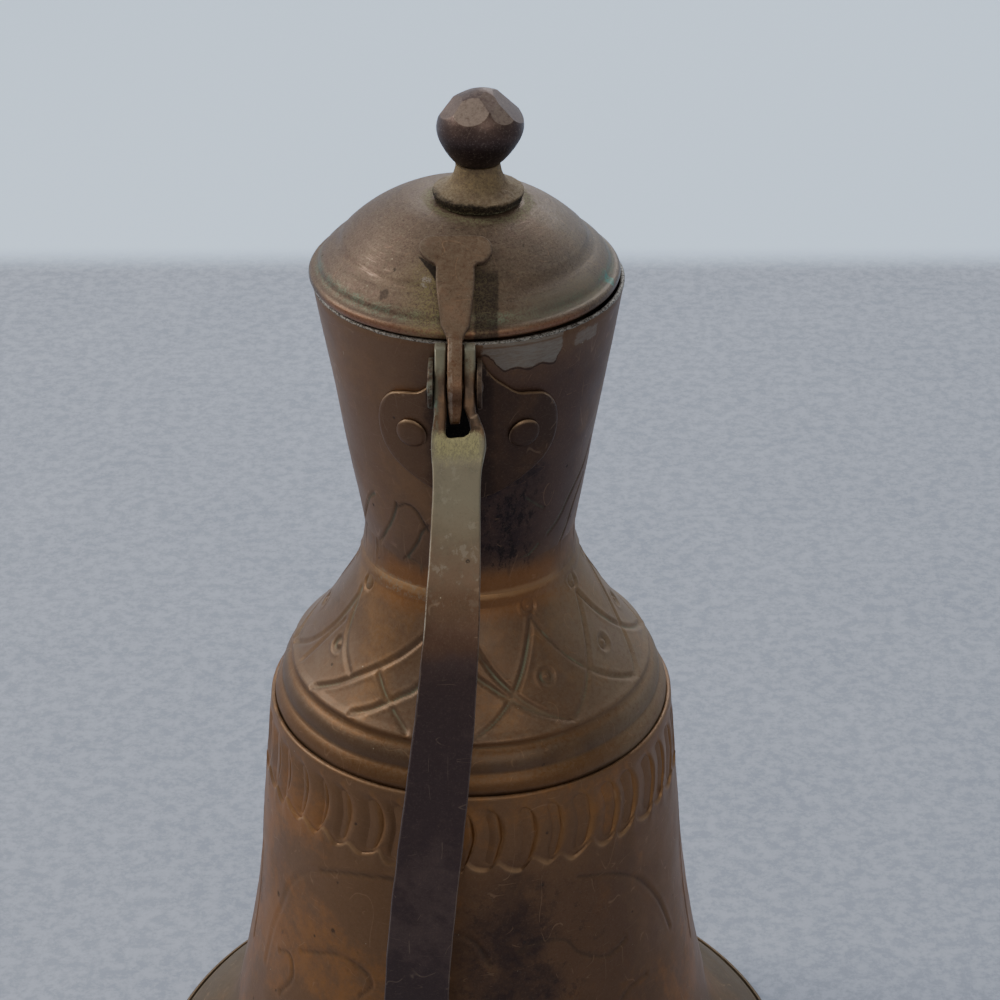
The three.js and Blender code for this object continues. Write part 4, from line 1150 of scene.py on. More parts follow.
@dataclass
class Vessel:
    """The neck and shoulder, the body and the base."""

    rim_radius: float = 38.0
    crease: Point = (25.9, 180.6)
    crease_blend: Point = (0.45, 3.2)
    field_end: Point = (46.4, 148.0)
    seam_radius: float = 51.3
    shoulder_pull: Point = (0.49, 0.68)
    upper_wall: float = 1.2
    band_bulge: float = 0.7
    body_wall: float = 1.3
    lip_radius: float = 52.5
    body_stations: tuple[Point, ...] = (
        (54.1, 0.87), (56.9, 0.62), (60.2, 0.43), (64.5, 0.27), (67.6, 0.17), (77.3, 0.09))
    foot_radius: float = 88.2
    base_wall: float = 1.5
    fold_wall: float = 1.1
    steps: int = 546
    crescents: int = 42
    crescent_height: float = 17.7
    chased_gap: float = 0.62
    ornament_gap: float = 0.58
    tendrils_gap: float = 0.85
    plain_gap: float = 2.2
    leaves_top: float = 212.0
    ornament_foot: float = 108.0
    tendrils_foot: float = 56.0
    upper_line: list[Point] = field(init=False)
    body_line: list[Point] = field(init=False)

    def __post_init__(self) -> None:
        """Works out the outer lines of the two shells, from the top down."""
        seam, foot = LAYOUT.seam, LAYOUT.foot
        span = seam - foot
        stations = [(self.lip_radius, seam)]
        stations += [(radius, foot + share * span) for radius, share in self.body_stations]
        stations += [(self.foot_radius - 0.4, foot)]
        self.body_line = through(stations, 14)
        rim, crease, end = (self.rim_radius, LAYOUT.rim), self.crease, self.field_end
        [neck_end] = off(crease, self.crease_blend)
        plain_end = between(rim, neck_end, 0.6, 0.6)
        neck = [*spaced([rim, plain_end], 3.0), *spaced([plain_end, neck_end], self.chased_gap)[1:]]
        shoulder = bend(crease, between(crease, end, *self.shoulder_pull), end, 24)
        ledge = off(crease, (0.05, 0.3), (0.3, -0.2), (0.7, -0.6), (1.1, -1.15), (1.45, -1.8), (1.8, -2.6),
                    (2.15, -3.5))
        arcs = [p for p in spaced(shoulder, self.chased_gap) if end[1] + 1 < p[1] < crease[1] - 4.2]
        ridge = off(end, (-0.3, 0.7), (0.15, 0.3), (0.3, -0.15), (0.15, -0.6), (0.1, -1.3), (0.4, -2.0))
        middle = between(end, (self.seam_radius, seam), 0.6, 0.54)
        upper_band = self.band(ridge[-1], middle)
        lower_band = self.band(*off(middle, (-0.1, -0.7)), (self.seam_radius, seam + 0.15))
        self.upper_line = [*neck, *ledge, *arcs, *ridge, *upper_band[1:], *lower_band]

    def band(self, start: Point, end: Point) -> list[Point]:
        """A rounded band between two points of the shell's line."""
        middle = (Vector(start) + Vector(end)) / 2
        along = (Vector(end) - Vector(start)).normalized()
        side = Vector((-along.y, along.x)) * self.band_bulge * 2
        return bend(start, tuple(middle + side), end, 8)

    def upper(self, material: Material) -> None:
        """Neck and shoulder in one sheet, with the chased arcs."""
        rim, wall = LAYOUT.rim, self.upper_wall
        lap = [(self.lip_radius - self.body_wall - GAP, LAYOUT.seam + drop) for drop in (-0.6, -4, -7.9)]
        outer = [*self.upper_line[1:], *lap]
        inner = [(radius - wall, height) for radius, height in
                 [(self.rim_radius - 0.3, rim - 2), *bend((30, 205), self.crease, (30, 173), 8)]]
        inner += [(radius - wall * 1.2, height - wall * 0.6) for radius, height in
                  spaced([p for p in self.upper_line if p[1] < 172], 4)]
        inner += [(lap[-1][0] - wall, lap[-1][1])]
        inner = [p for i, p in enumerate(inner) if i == 0 or p[1] < inner[i - 1][1] - 0.3]
        edge = off((self.rim_radius, rim), (-wall, -0.4), (-wall * 0.75, 0), (-wall * 0.25, 0), (0, -0.4))
        piece = Piece("neck_with_shoulder")
        piece.turn([*edge, *outer, *reversed(inner)], self.steps, closed=True)
        piece.move(self.settled_crease)
        chaser = Chaser(self.upper_line)
        for stroke in self.shoulder_strokes() + self.neck_strokes():
            chaser.strike(stroke)
        chaser.work(piece, self.field_end[1] - 0.6, self.leaves_top)
        piece.dent(17, 0.25)
        piece.finish(material, Body.JUG, Slot.BODY, "neck_and_shoulder", crease=60)

    def settled_crease(self, place: Vector) -> Vector:
        """Softens the fold between neck and shoulder, unevenly round the jug."""
        near = smooth_share(abs(place.z - self.crease[1] + 1), 5, 0)
        turn = math.atan2(place.x, -place.y)
        grow = 1 + near * (0.01 + 0.007 * math.sin(3 * turn + 1) + 0.005 * math.sin(11 * turn))
        return Vector((place.x * grow, place.y * grow, place.z))

    def shoulder_strokes(self) -> list[Stroke]:
        """The arcs and dimples on the shoulder: listed beside the handle, even all round."""
        deep = Stroke((), 0.6, 0.55, 0.14, ink=0.35)
        soft = replace(deep, depth=0.36, lip=0.06)
        foot, apex, lean = 148.9, 172.0, -4.5
        feet = [2 + 33.2 * i for i in range(9)]
        strokes = lattice(feet, foot, apex, lean, deep)
        by_hand = [
            (deep, ((-3.5, 170), (1, 162), (9, 158.1), (15, 155.6), (21, 153), (27, 151), (35, 149.1))),
            (deep, ((-61, 148.8), (-52, 152.4), (-44, 156.4), (-31, 162.5), (-23, 166.9), (-16, 171.5))),
            (deep, ((-20, 148.8), (-23, 150.4), (-27, 152.4))),
            (deep, ((-29, 153.6), (-32, 155.2), (-37, 158.5))),
            (deep, ((-41, 148.9), (-35, 150.8), (-30, 153), (-25, 155.2), (-20, 157.4), (-12, 164))),
            (soft, ((-67, 172), (-62, 163), (-57, 159), (-49, 155.5))),
            (soft, ((-76, 150), (-72, 158), (-67, 164))),
            (soft, ((-89, 148.8), (-80, 153.5), (-72, 161), (-66, 171))),
        ]
        strokes += [replace(kind, stops=stops) for kind, stops in by_hand]
        for place in [*feet[1:], -58]:
            middle, apex_dot = (place + lean, 158.7), (place + lean, 174.4)
            strokes.append(Stroke((middle,), 0.65, 0.55, 0.22, ring=1.5, ink=0.3))
            strokes.append(Stroke((apex_dot,), 0.6, 0.45, 0.16, ring=1.3, ink=0.3))
        return strokes

    def neck_strokes(self) -> list[Stroke]:
        """The thin leaves on the neck, above the crease: listed in front, even at the back."""
        by_hand = [
            ((-37, 203.3), (-39, 199.8), (-45, 194.4), (-58, 186.2), (-65, 182.9)),
            ((-37, 202), (-31.7, 203.9), (-28, 203.7), (-24.8, 202.1), (-21.8, 198.9), (-20, 197)),
            ((-20, 199), (-24.1, 196.1), (-26.6, 193.1), (-31.4, 189.3), (-37, 185.8)),
            ((-34, 187.2), (-29, 186), (-25.4, 184.4)),
            ((-52, 203), (-57.5, 200.6), (-64.9, 195.7), (-73, 191)),
            ((43.6, 192.7), (51, 196.1), (58.4, 201.9), (69, 207.8), (74, 213)),
            ((54.9, 185.6), (60.2, 190.9), (64.7, 197.7), (72.7, 204.4)),
            ((28, 206.3), (33, 203.9), (38.6, 201.6)),
            ((19.6, 184), (25.9, 187), (33.7, 188.4), (38.5, 190.7)),
        ]
        feet = [78 + 34 * i for i in range(7)]
        thin = Stroke((), 0.36, 0.3, 0.05, ink=0.7)
        return lattice(feet, 185, 207, 3, thin) + [replace(thin, stops=stops) for stops in by_hand]

    def body(self, material: Material) -> None:
        """The bell-shaped body, with its crescents and arches."""
        wall, low = self.body_wall, self.base_wall + GAP
        line = self.body_line
        ornament = spaced([p for p in line if p[1] > self.ornament_foot], self.ornament_gap)
        chased = [p for p in line if self.tendrils_foot < p[1] <= ornament[-1][1]]
        chased = spaced(chased, self.tendrils_gap)[1:]
        rest = [*chased, *spaced([p for p in line if p[1] <= chased[-1][1]], self.plain_gap)[1:]]
        lip = off((self.lip_radius, LAYOUT.seam), (-wall, -0.3), (-wall * 0.75, 0), (-0.3, 0))
        outer = [*lip, *ornament[1:], *rest, (self.foot_radius, low + wall), (self.foot_radius, low)]
        inner = [*beside(spaced(self.body_line, 6), -wall)[1:-1], (self.foot_radius - wall, low)]
        piece = Piece("bell_body")
        piece.turn([*outer, *reversed(inner)], self.steps, closed=True)
        self.strike_crescents(piece)
        chaser = Chaser(self.body_line)
        for stroke in self.body_strokes():
            chaser.strike(stroke)
        chaser.work(piece, 30, LAYOUT.seam - 1)
        piece.dent(24, 0.3)
        piece.finish(material, Body.JUG, Slot.BODY, "body_shell", crease=60)

    def strike_crescents(self, piece: Piece) -> None:
        """Strikes the row of crescents below the seam.

        Each one is like a nail's print: it sinks from left to right up to a steep wall, and it ends
        below in a rounded step. The mesh's own columns and rows are moved along the walls and the
        steps first, so that both stay crisp.
        """
        top = LAYOUT.seam - 2.6
        foot = top - self.crescent_height
        bend_height = mix(foot, top, 0.57)
        # The wall and ridge values mark where the body's finish paints light: the lit walls, and a bright
        # line along the crescents' foot that is partly wear and partly a painted highlight.
        wall, ridge = (piece.mesh.verts.layers.float.new(name) for name in ("wall", "ridge"))
        piece.mesh.normal_update()
        moved = []
        for point in piece.mesh.verts:
            place = point.co
            if foot - 7 < place.z < top + 2 and math.hypot(place.x, place.y) > self.lip_radius - 0.9:
                turn = math.degrees(math.atan2(place.x, -place.y))
                share = (turn * self.crescents / 360) % 1
                fade = smooth_share(place.z, foot - 7, foot - 1) * smooth_share(place.z, top + 2, top - 1)
                hand = 0.6 * math.sin(turn * 0.29) + 0.4 * math.sin(turn * 0.83 + 1)
                rest = place.z - bend_height
                curve = 3.6 * (rest / 7.6) ** 2 if rest > 0 else 2.5 * (-rest / 10.1) ** 1.5
                rise = (3.1 * abs(2 * share - 1) ** 2.2 - 0.9 + 0.5 * math.sin(turn * 0.4)) * smooth_share(
                    abs(place.z - foot), 7, 1)
                up = place.z - foot
                point[wall] = smooth_share(share, 0.74, 0.82) * smooth_share(share, 0.98, 0.92) * fade * (
                    smooth_share(up, 0, 2))
                point[ridge] = smooth_share(abs(up + 0.2), 0.8, 0.2) * (0.5 + 0.5 * math.sin(turn * 0.7))
                depth = self.crescent_depth(share, place.z - foot) * smooth_share(place.z, top, top - 3.5)
                spin = Matrix.Rotation(math.radians((2.2 - curve - hand) * fade), 3, "Z")
                moved.append((point, spin @ (place - point.normal * depth) + Vector((0, 0, rise))))
        for point, place in moved:
            point.co = place

    @staticmethod
    def crescent_depth(share: float, height: float) -> float:
        """How deep a crescent is at a share of its width and a height above its foot."""
        if height < 0:
            return -0.06 * smooth_share(height, -1.4, -0.2)
        wall = 0.76
        sunk = smooth_share(share, 0.04, wall) * smooth_share(share, 0.96, wall)
        step = math.exp(-height / 2.6) * math.sin(math.pi * min(max(share, 0.02), 0.98)) ** 0.3
        crest = 0.1 * math.exp(-(min(share, 1 - share) / 0.08) ** 2)
        return max(1.1 * sunk * smooth_share(height, 0, 3), 0.62 * step) - crest

    def body_strokes(self) -> list[Stroke]:
        """The worn medallions and tendrils on the body: listed in front, even at the back."""
        by_hand = [
            ((-44, 104), (-41.6, 104.9), (-33, 107.7), (-21.7, 109.6), (-12, 109)),
            ((-57, 59), (-52.6, 66.2), (-54.7, 72), (-60, 70.3)),
            ((-50, 76), (-43.8, 78.9), (-36.1, 81.8), (-28.9, 80.2), (-26.1, 76.6), (-29.2, 72.2)),
            ((-40, 58), (-35, 64), (-29, 66), (-22, 62)),
            ((-9, 92), (-5.2, 95), (-1.9, 95.5), (2, 92.6), (5, 86)),
            ((13, 90), (17.1, 91.8), (25.5, 90.3), (29.7, 85.1), (38.2, 80.9), (45, 83)),
            ((36, 60), (42.8, 66.4), (46.8, 68.1), (52, 68)),
            ((10, 60), (14, 68), (20, 72), (27, 70)),
            ((30, 108), (42, 104), (52, 97), (60, 86), (65, 74)),
        ]
        thin = Stroke((), 0.6, 0.34, 0.12, ink=0.7)
        faint = replace(thin, width=0.8, depth=0.16, lip=0.05, ink=0.25)
        strokes = [replace(thin, stops=stops) for stops in by_hand]
        leg = ((-67, 62), (-65.1, 73), (-60.8, 83.8), (-57.3, 92.3), (-51.5, 99.1), (-45, 103.4))
        strokes.append(replace(faint, stops=leg))
        for middle in (110, 180, 250):
            arch = [(-30, 60), (-30, 76), (-27, 92), (-20, 102), (-10, 108)]
            stops = arch + [(0, 110)] + [(-turn, height) for turn, height in reversed(arch)]
            strokes.append(replace(thin, stops=tuple((middle + t, h) for t, h in stops)))
            for side in (-1, 1):
                leaf = [(4, 62), (14, 70), (18, 80), (12, 88), (4, 92), (0, 84)]
                strokes.append(replace(thin, stops=tuple((middle + side * t, h) for t, h in leaf)))
        return strokes

    def base(self, material: Material) -> None:
        """The flat base, whose edge is folded up round the foot."""
        inner = self.foot_radius + GAP
        outer, top = inner + self.fold_wall, LAYOUT.foot
        profile = [(0, 0), *off((outer, 0), (-0.9, 0), (-0.3, 0.25), (0, 0.8)),
                   *off((outer, top), (0, -1.4), (-0.2, -0.5), (-0.6, -0.05), (-1.1, 0)),
                   *off((inner, top), (-0.15, -0.3), (0, -1.4)), (inner, self.base_wall), (0, self.base_wall)]
        piece = Piece("folded_base")
        piece.turn(profile, 240, closed=False)
        piece.dent(20, 0.1)
        piece.finish(material, Body.JUG, Slot.BODY, "base_pan")

    def build(self, upper: Material, lower: Material) -> None:
        """Makes the three shells in their finishes."""
        self.upper(upper)
        self.body(lower)
        self.base(lower)


@dataclass(frozen=True)
class Rivet:
    """A rivet square to a shell. Its seat and its tail are measured from the shell's outer line."""

    line: Sequence[Point]
    radius: float
    seat: float
    tail: float
    dents: float
    shank: float = 1.5
    spread: float = 2.6

    def profile(self) -> list[Point]:
        """The profile, from the spread tail up to the domed head."""
        radius, seat, tail, spread = self.radius, self.seat, self.tail, self.spread
        return [(0, tail - 1), (spread * 0.75, tail - 0.8), (spread, tail - 0.1), (spread * 0.9, tail),
                (self.shank, tail), (self.shank, seat), (radius - 0.1, seat), (radius, seat + 0.25),
                (radius * 0.95, seat + 0.55), (radius * 0.78, seat + 0.85), (radius * 0.45, seat + 0.97),
                (0, seat + 1)]

    def build(self, name: str, azimuth: float, height: float, material: Material, node: str) -> None:
        """Makes the rivet at one place of the shell.

        Args:
            name: The piece's name.
            azimuth: Its place round the shell.
            height: Its height.
            material: Its finish.
            node: The CAD node that it stands for.
        """
        piece = Piece(name)
        piece.turn(self.profile(), 40, closed=False)
        piece.dent(3, self.dents)
        turn = UP.rotation_difference(outward(self.line, azimuth, height)).to_matrix().to_4x4()
        piece.place(Matrix.Translation(on_shell(self.line, azimuth, height)) @ turn)
        piece.finish(material, Body.JUG, Slot.DARK, node)


@dataclass
class Hinge:
    """The bat-wing plate with its ears, the two rivets and the pin."""

    vessel: Vessel
    plate_wall: float = 1.2
    plate_top: float = 5.0
    plate_tip: float = 45.5
    wing_span: float = 21.4
    wing_top: float = 15.3
    rivet_drop: float = 26.2
    rivet_azimuth: float = 22.3
    rivet_radius: float = 3.9
    ear_thick: float = 1.2
    ear_radius: float = 5.0
    pin_radius: float = 1.5

    def outline(self) -> list[Point]:
        """The plate's outline as (x, drop below the rim): a wing each side and a long tip."""
        span, top, tip = self.wing_span, self.wing_top, self.plate_tip
        notch = ((0.16, 0), (0.26, 0.4), (0.41, 0.7), (0.55, 0.94), (0.7, 1))
        wing = ((0.97, 0.17), (1, 0.34), (0.95, 0.53), (0.8, 0.7), (0.5, 0.86), (0.22, 0.96), (0, 1))
        half = [(span * out, mix(self.plate_top, top, share)) for out, share in notch]
        half += [(span * 0.86, top + 1.2)]
        half += [(span * out, mix(top, tip, share)) for out, share in wing]
        right = through(half, 4)
        left = [(-x, drop) for x, drop in reversed(right[:-1])]
        return [*right, *left]

    def plate(self, material: Material) -> None:
        """The plate bent round the neck, with both ears."""
        piece = Piece("hinge_plate")
        piece.slab([(x, -drop) for x, drop in self.outline()], 0, self.plate_wall)
        piece.soften(0.35, 2)
        piece.slice(0, np.arange(-self.wing_span + 0.7, self.wing_span, 1.1))
        piece.slice(1, np.arange(-self.plate_tip + 1, -self.plate_top, 1.6))
        line = self.vessel.upper_line

        def wrapped(place: Vector) -> Vector:
            """A point of the flat plate bent round the neck."""
            height = LAYOUT.rim + place.y
            radius = radius_at(line, height) + GAP * 0.5 + place.z
            turn = math.asin(max(min(place.x / radius, 1), -1))
            return Vector((radius * math.sin(turn), -radius * math.cos(turn), height))

        piece.move(wrapped)
        piece.dent(9, 0.12)
        for side in (-1, 1):
            self.ear(piece, side)
        piece.finish(material, Body.JUG, Slot.DARK, "hinge_bracket")

    def ear(self, piece: Piece, side: int) -> None:
        """Adds one ear to the plate's mesh."""
        pivot = LAYOUT.pivot
        around = [polar((-pivot.y, pivot.z), self.ear_radius, angle) for angle in range(-69, 97, 15)]
        rim_radius, rim = self.vessel.rim_radius, LAYOUT.rim
        root = [(rim_radius - 0.8, rim - 4), (rim_radius - 2.4, rim - 18.6)]
        ear = Piece("ear")
        ear.slab([*around, *root], 0, self.ear_thick)
        ear.soften(0.3, 2)
        middle = TONGUE / 2 + 2 * GAP + TINE
        shift = pivot.x + (middle if side > 0 else -middle - self.ear_thick)
        ear.move(lambda place: Vector((shift + place.z, -place.x, place.y)))
        merge(piece, ear)

    def pin(self, material: Material) -> None:
        """The pin through ears, tines and tongue."""
        half = TONGUE / 2 + 2 * GAP + TINE + self.ear_thick
        tip = [(self.pin_radius * share, half + past) for share, past in (
            (0, 0.35), (0.6, 0.25), (0.95, 0), (1, -0.3))]
        piece = Piece("pin")
        piece.turn([*[(radius, -height) for radius, height in tip], *reversed(tip)], 32, closed=False)
        piece.place(Matrix.Translation(LAYOUT.pivot) @ Euler((0, math.pi / 2, 0)).to_matrix().to_4x4())
        piece.finish(material, Body.JUG, Slot.HANDLE, "hinge_pin")

    def build(self, plate: Material, strap: Material) -> None:
        """Makes the plate, the rivets and the pin."""
        self.plate(plate)
        seat, tail = GAP + self.plate_wall, -self.vessel.upper_wall - GAP
        rivet = Rivet(self.vessel.upper_line, self.rivet_radius, seat, tail, 0.12)
        for place, azimuth in (("left", -self.rivet_azimuth), ("right", self.rivet_azimuth)):
            height = LAYOUT.rim - self.rivet_drop
            rivet.build(f"rivet_{place}", azimuth, height, plate, f"bracket_rivet_{place}")
        self.pin(strap)


def merge(piece: Piece, other: Piece) -> None:
    """Adds the mesh of another piece to one."""
    data = bpy.data.meshes.new(other.name)
    other.mesh.to_mesh(data)
    other.mesh.free()
    piece.mesh.from_mesh(data)
    bpy.data.meshes.remove(data)


@dataclass
class Handle:
    """The strap handle, made flat and then bent: two tines, a hole, and a long strap."""

    vessel: Vessel
    strap_thick: float = 2.2
    top_width: float = 11.1
    strap_width: float = 16.0
    pad_width: float = 19.0
    head_width: float = 12.6
    head_shift: float = 0.8
    hole_width: float = 5.5
    hole_length: float = 4.0
    split: float = 9.8
    fork_inset: float = 5.5
    fork_end: Point = (10.25, -14.0)
    reach: float = 90.0
    shift: float = 10.5
    foot_top: float = 58.0
    foot_tip: float = 35.0
    rivet_heights: tuple[float, float] = (47.5, 38.5)
    rivet_radius: float = 3.5
    slack: float = 0.12
    fork_steps: int = 26

    def __post_init__(self) -> None:
        """Works out the inner and the outer side line, from the tips of the tines down."""
        self.start = self.from_pivot(*self.fork_end)
        self.foot_azimuth = math.asin(self.foot_offset / self.seat_reach)
        middle = spaced(through(self.side_stops(), 12), 0.5)
        middle = [p for p in middle if p[1] < self.start[1] - 1.0]
        half = self.strap_thick * 0.5
        lower, upper = off(self.start, (-0.8, -0.8), (0.8, 0.8))
        outer_fork = bend(self.from_pivot(-self.fork_inset * 0.42, 8.5), self.from_pivot(5.4, 1.8), upper,
                          self.fork_steps)
        inner_fork = bend(self.from_pivot(-self.fork_inset, 8.8), self.from_pivot(-4.5, -4.5), lower,
                          self.fork_steps)
        strap = spaced(middle, 2.0)
        self.outer = [*outer_fork, *beside(strap, half)]
        self.inner = [*inner_fork, *beside(strap, -half)]
        steps = np.linalg.norm(np.diff((np.array(self.outer) + np.array(self.inner)) / 2, axis=0), axis=1)
        self.stations = np.concatenate([[0], np.cumsum(steps)])

    @property
    def seat_reach(self) -> float:
        """The reach of the strap's middle where its foot lies on the body."""
        height = (self.foot_top + self.foot_tip) / 2
        return radius_at(self.vessel.body_line, height) + GAP + self.strap_thick / 2

    @property
    def foot_offset(self) -> float:
        """How far the foot lies to the left of the jug's middle."""
        return LAYOUT.pivot.x - self.shift

    def from_pivot(self, out: float, up: float) -> Point:
        """A point of the side view, measured from the hinge's pivot."""
        return -LAYOUT.pivot.y + out, LAYOUT.pivot.z + up

    def on_body(self, height: float) -> Point:
        """A point of the strap's middle where it lies on the body."""
        clear = GAP + self.slack + self.strap_thick / 2
        reach = (radius_at(self.vessel.body_line, height) + clear) * math.cos(self.foot_azimuth)
        return reach, height

    def side_stops(self) -> list[Point]:
        """The points that the strap's middle passes through, in side view."""
        start, seat = self.start, self.seat_reach
        down = lambda share: mix(start[1], self.foot_top, share)
        shares = ((0.34, 0.066), (0.67, 0.137), (0.89, 0.217), (0.985, 0.326), (1, 0.46))
        upper = [(mix(start[0], self.reach, out), down(drop)) for out, drop in shares]
        shares = ((0.94, 0.611), (0.79, 0.749), (0.55, 0.863), (0.26, 0.949))
        lower = [(mix(seat, self.reach, out), down(drop)) for out, drop in shares]
        pad_top = self.foot_top - 2 * self.strap_thick
        touch = self.on_body(pad_top)
        foot = [(touch[0] + GAP, pad_top), self.on_body((self.foot_top + self.foot_tip) / 2),
                self.on_body(self.foot_tip)]
        return [(start[0] - self.strap_thick, start[1] + self.strap_thick), start, *upper, *lower, *foot]

    def station_at(self, height: float) -> float:
        """The length along the handle where its middle is at a height, below its start."""
        heights = (np.array(self.outer) + np.array(self.inner))[:, 1] / 2
        return float(np.interp(-height, -heights, self.stations))

    def edges(self) -> list[tuple[float, float, float]]:
        """The left and right edge of the flat handle at lengths along it."""
        tine = TONGUE / 2 + GAP + TINE
        head, top, shift = self.head_width / 2, self.top_width / 2, self.head_shift
        wide, pad = self.strap_width / 2, self.pad_width / 2
        below = lambda share: self.station_at(LAYOUT.pivot.z - self.split * share)
        fork = ((0.36, 0, 0), (0.55, 0.22, 0.4), (0.74, 0.6, 0.8), (0.93, 0.92, 1), (1.14, 1, 1))
        neck = ((1.36, 0.35, 0.8), (1.65, 0.9, 0.6))
        strap = ((225, 0), (215, 0.15), (200, 0.36), (145, 0.85), (90, 1), (58, 1))
        foot = ((51, 1), (43, 1), (38, 0.76), (35.8, 0.4))
        widths = [(0.0, tine, 0.0)]
        widths += [(below(drop), mix(tine, head, share), shift * aside) for drop, share, aside in fork]
        widths += [(below(drop), mix(head, top, share), shift * aside) for drop, share, aside in neck]
        widths += [(self.station_at(height), mix(top, wide, share), shift / 2) for height, share in strap]
        widths += [(self.station_at(height), pad * share, shift / 2) for height, share in foot]
        return [(length, middle - half, middle + half) for length, half, middle in widths]

    def outline(self) -> list[Point]:
        """The flat handle's outline as (x, length), round the slot and the hole."""
        rows = self.edges()
        right = through([(high, length) for length, _, high in rows], 6)
        left = through([(low, length) for length, low, _ in rows], 6)
        slot, side = TONGUE / 2 + GAP, self.hole_width / 2 + self.head_shift
        end = self.station_at(LAYOUT.pivot.z - self.split)
        top = end - self.hole_length
        inside = [(-slot, 0), (-slot, top - 1), *off((-slot, end), (-0.25, -1.0), (0.1, -0.1), (0.9, 0.1)),
                  *off((side, end), (-1.5, -0.2), (-0.4, -0.9), (0, -1.9)), (side - 0.3, top),
                  (mix(slot, side, 0.4), top - 1.7), (slot, top - 3.2), (slot, 0)]
        tip = (0, self.stations[-1])
        return [*reversed(inside), *left, tip, *reversed(right)]

    def aside(self, height: float) -> float:
        """How far the strap's middle has moved aside at a height."""
        share = smooth_share(self.start[1] - height, 0, self.start[1] - self.foot_top - 22)
        return LAYOUT.pivot.x - (self.shift + self.head_shift / 2) * share

    def bent(self, place: Vector) -> Vector:
        """A point of the flat handle in its place on the jug."""
        rows = [np.interp(place.y, self.stations, [p[axis] for p in line])
                for line in (self.inner, self.outer) for axis in (0, 1)]
        reach, height = mix(rows[0], rows[2], place.z), mix(rows[1], rows[3], place.z)
        turned = mix(self.start[1], self.foot_top, 0.2)
        turn = smooth_share(turned - height, 0, turned - self.foot_top)
        x = place.x * mix(1, math.cos(self.foot_azimuth), turn) + self.aside(height)
        return Vector((x, place.x * math.sin(self.foot_azimuth) * turn - reach, height))

    def strap(self, material: Material) -> None:
        """The whole handle."""
        thick = self.strap_thick
        piece = Piece("forked_handle")
        piece.slab(self.outline(), 0, thick)
        piece.soften(0.45, 3, 50)
        piece.slice(1, np.arange(0.9, 30, 0.9))
        piece.slice(1, np.arange(30.5, self.stations[-1] - 0.5, 2.2))
        piece.slice(0, (-6, -3.6, -1.2, 1.2, 3.6, 6))
        piece.move(lambda place: self.bent(Vector((place.x, place.y, place.z / thick))))
        bmesh.ops.remove_doubles(piece.mesh, verts=piece.mesh.verts, dist=0.01)
        piece.face_out()
        piece.dent(8, 0.14)
        piece.finish(material, Body.JUG, Slot.HANDLE, "handle_strap")

    def build(self, strap: Material, rivets: Material) -> None:
        """Makes the handle and its rivets."""
        self.strap(strap)
        seat, tail = GAP + self.strap_thick + GAP, -self.vessel.body_wall - GAP
        rivet = Rivet(self.vessel.body_line, self.rivet_radius, seat, tail, 0.2)
        for place, height in zip(("upper", "lower"), self.rivet_heights):
            azimuth = math.degrees(self.foot_azimuth)
            rivet.build(f"foot_rivet_{place}", azimuth, height, rivets, f"handle_rivet_{place}")


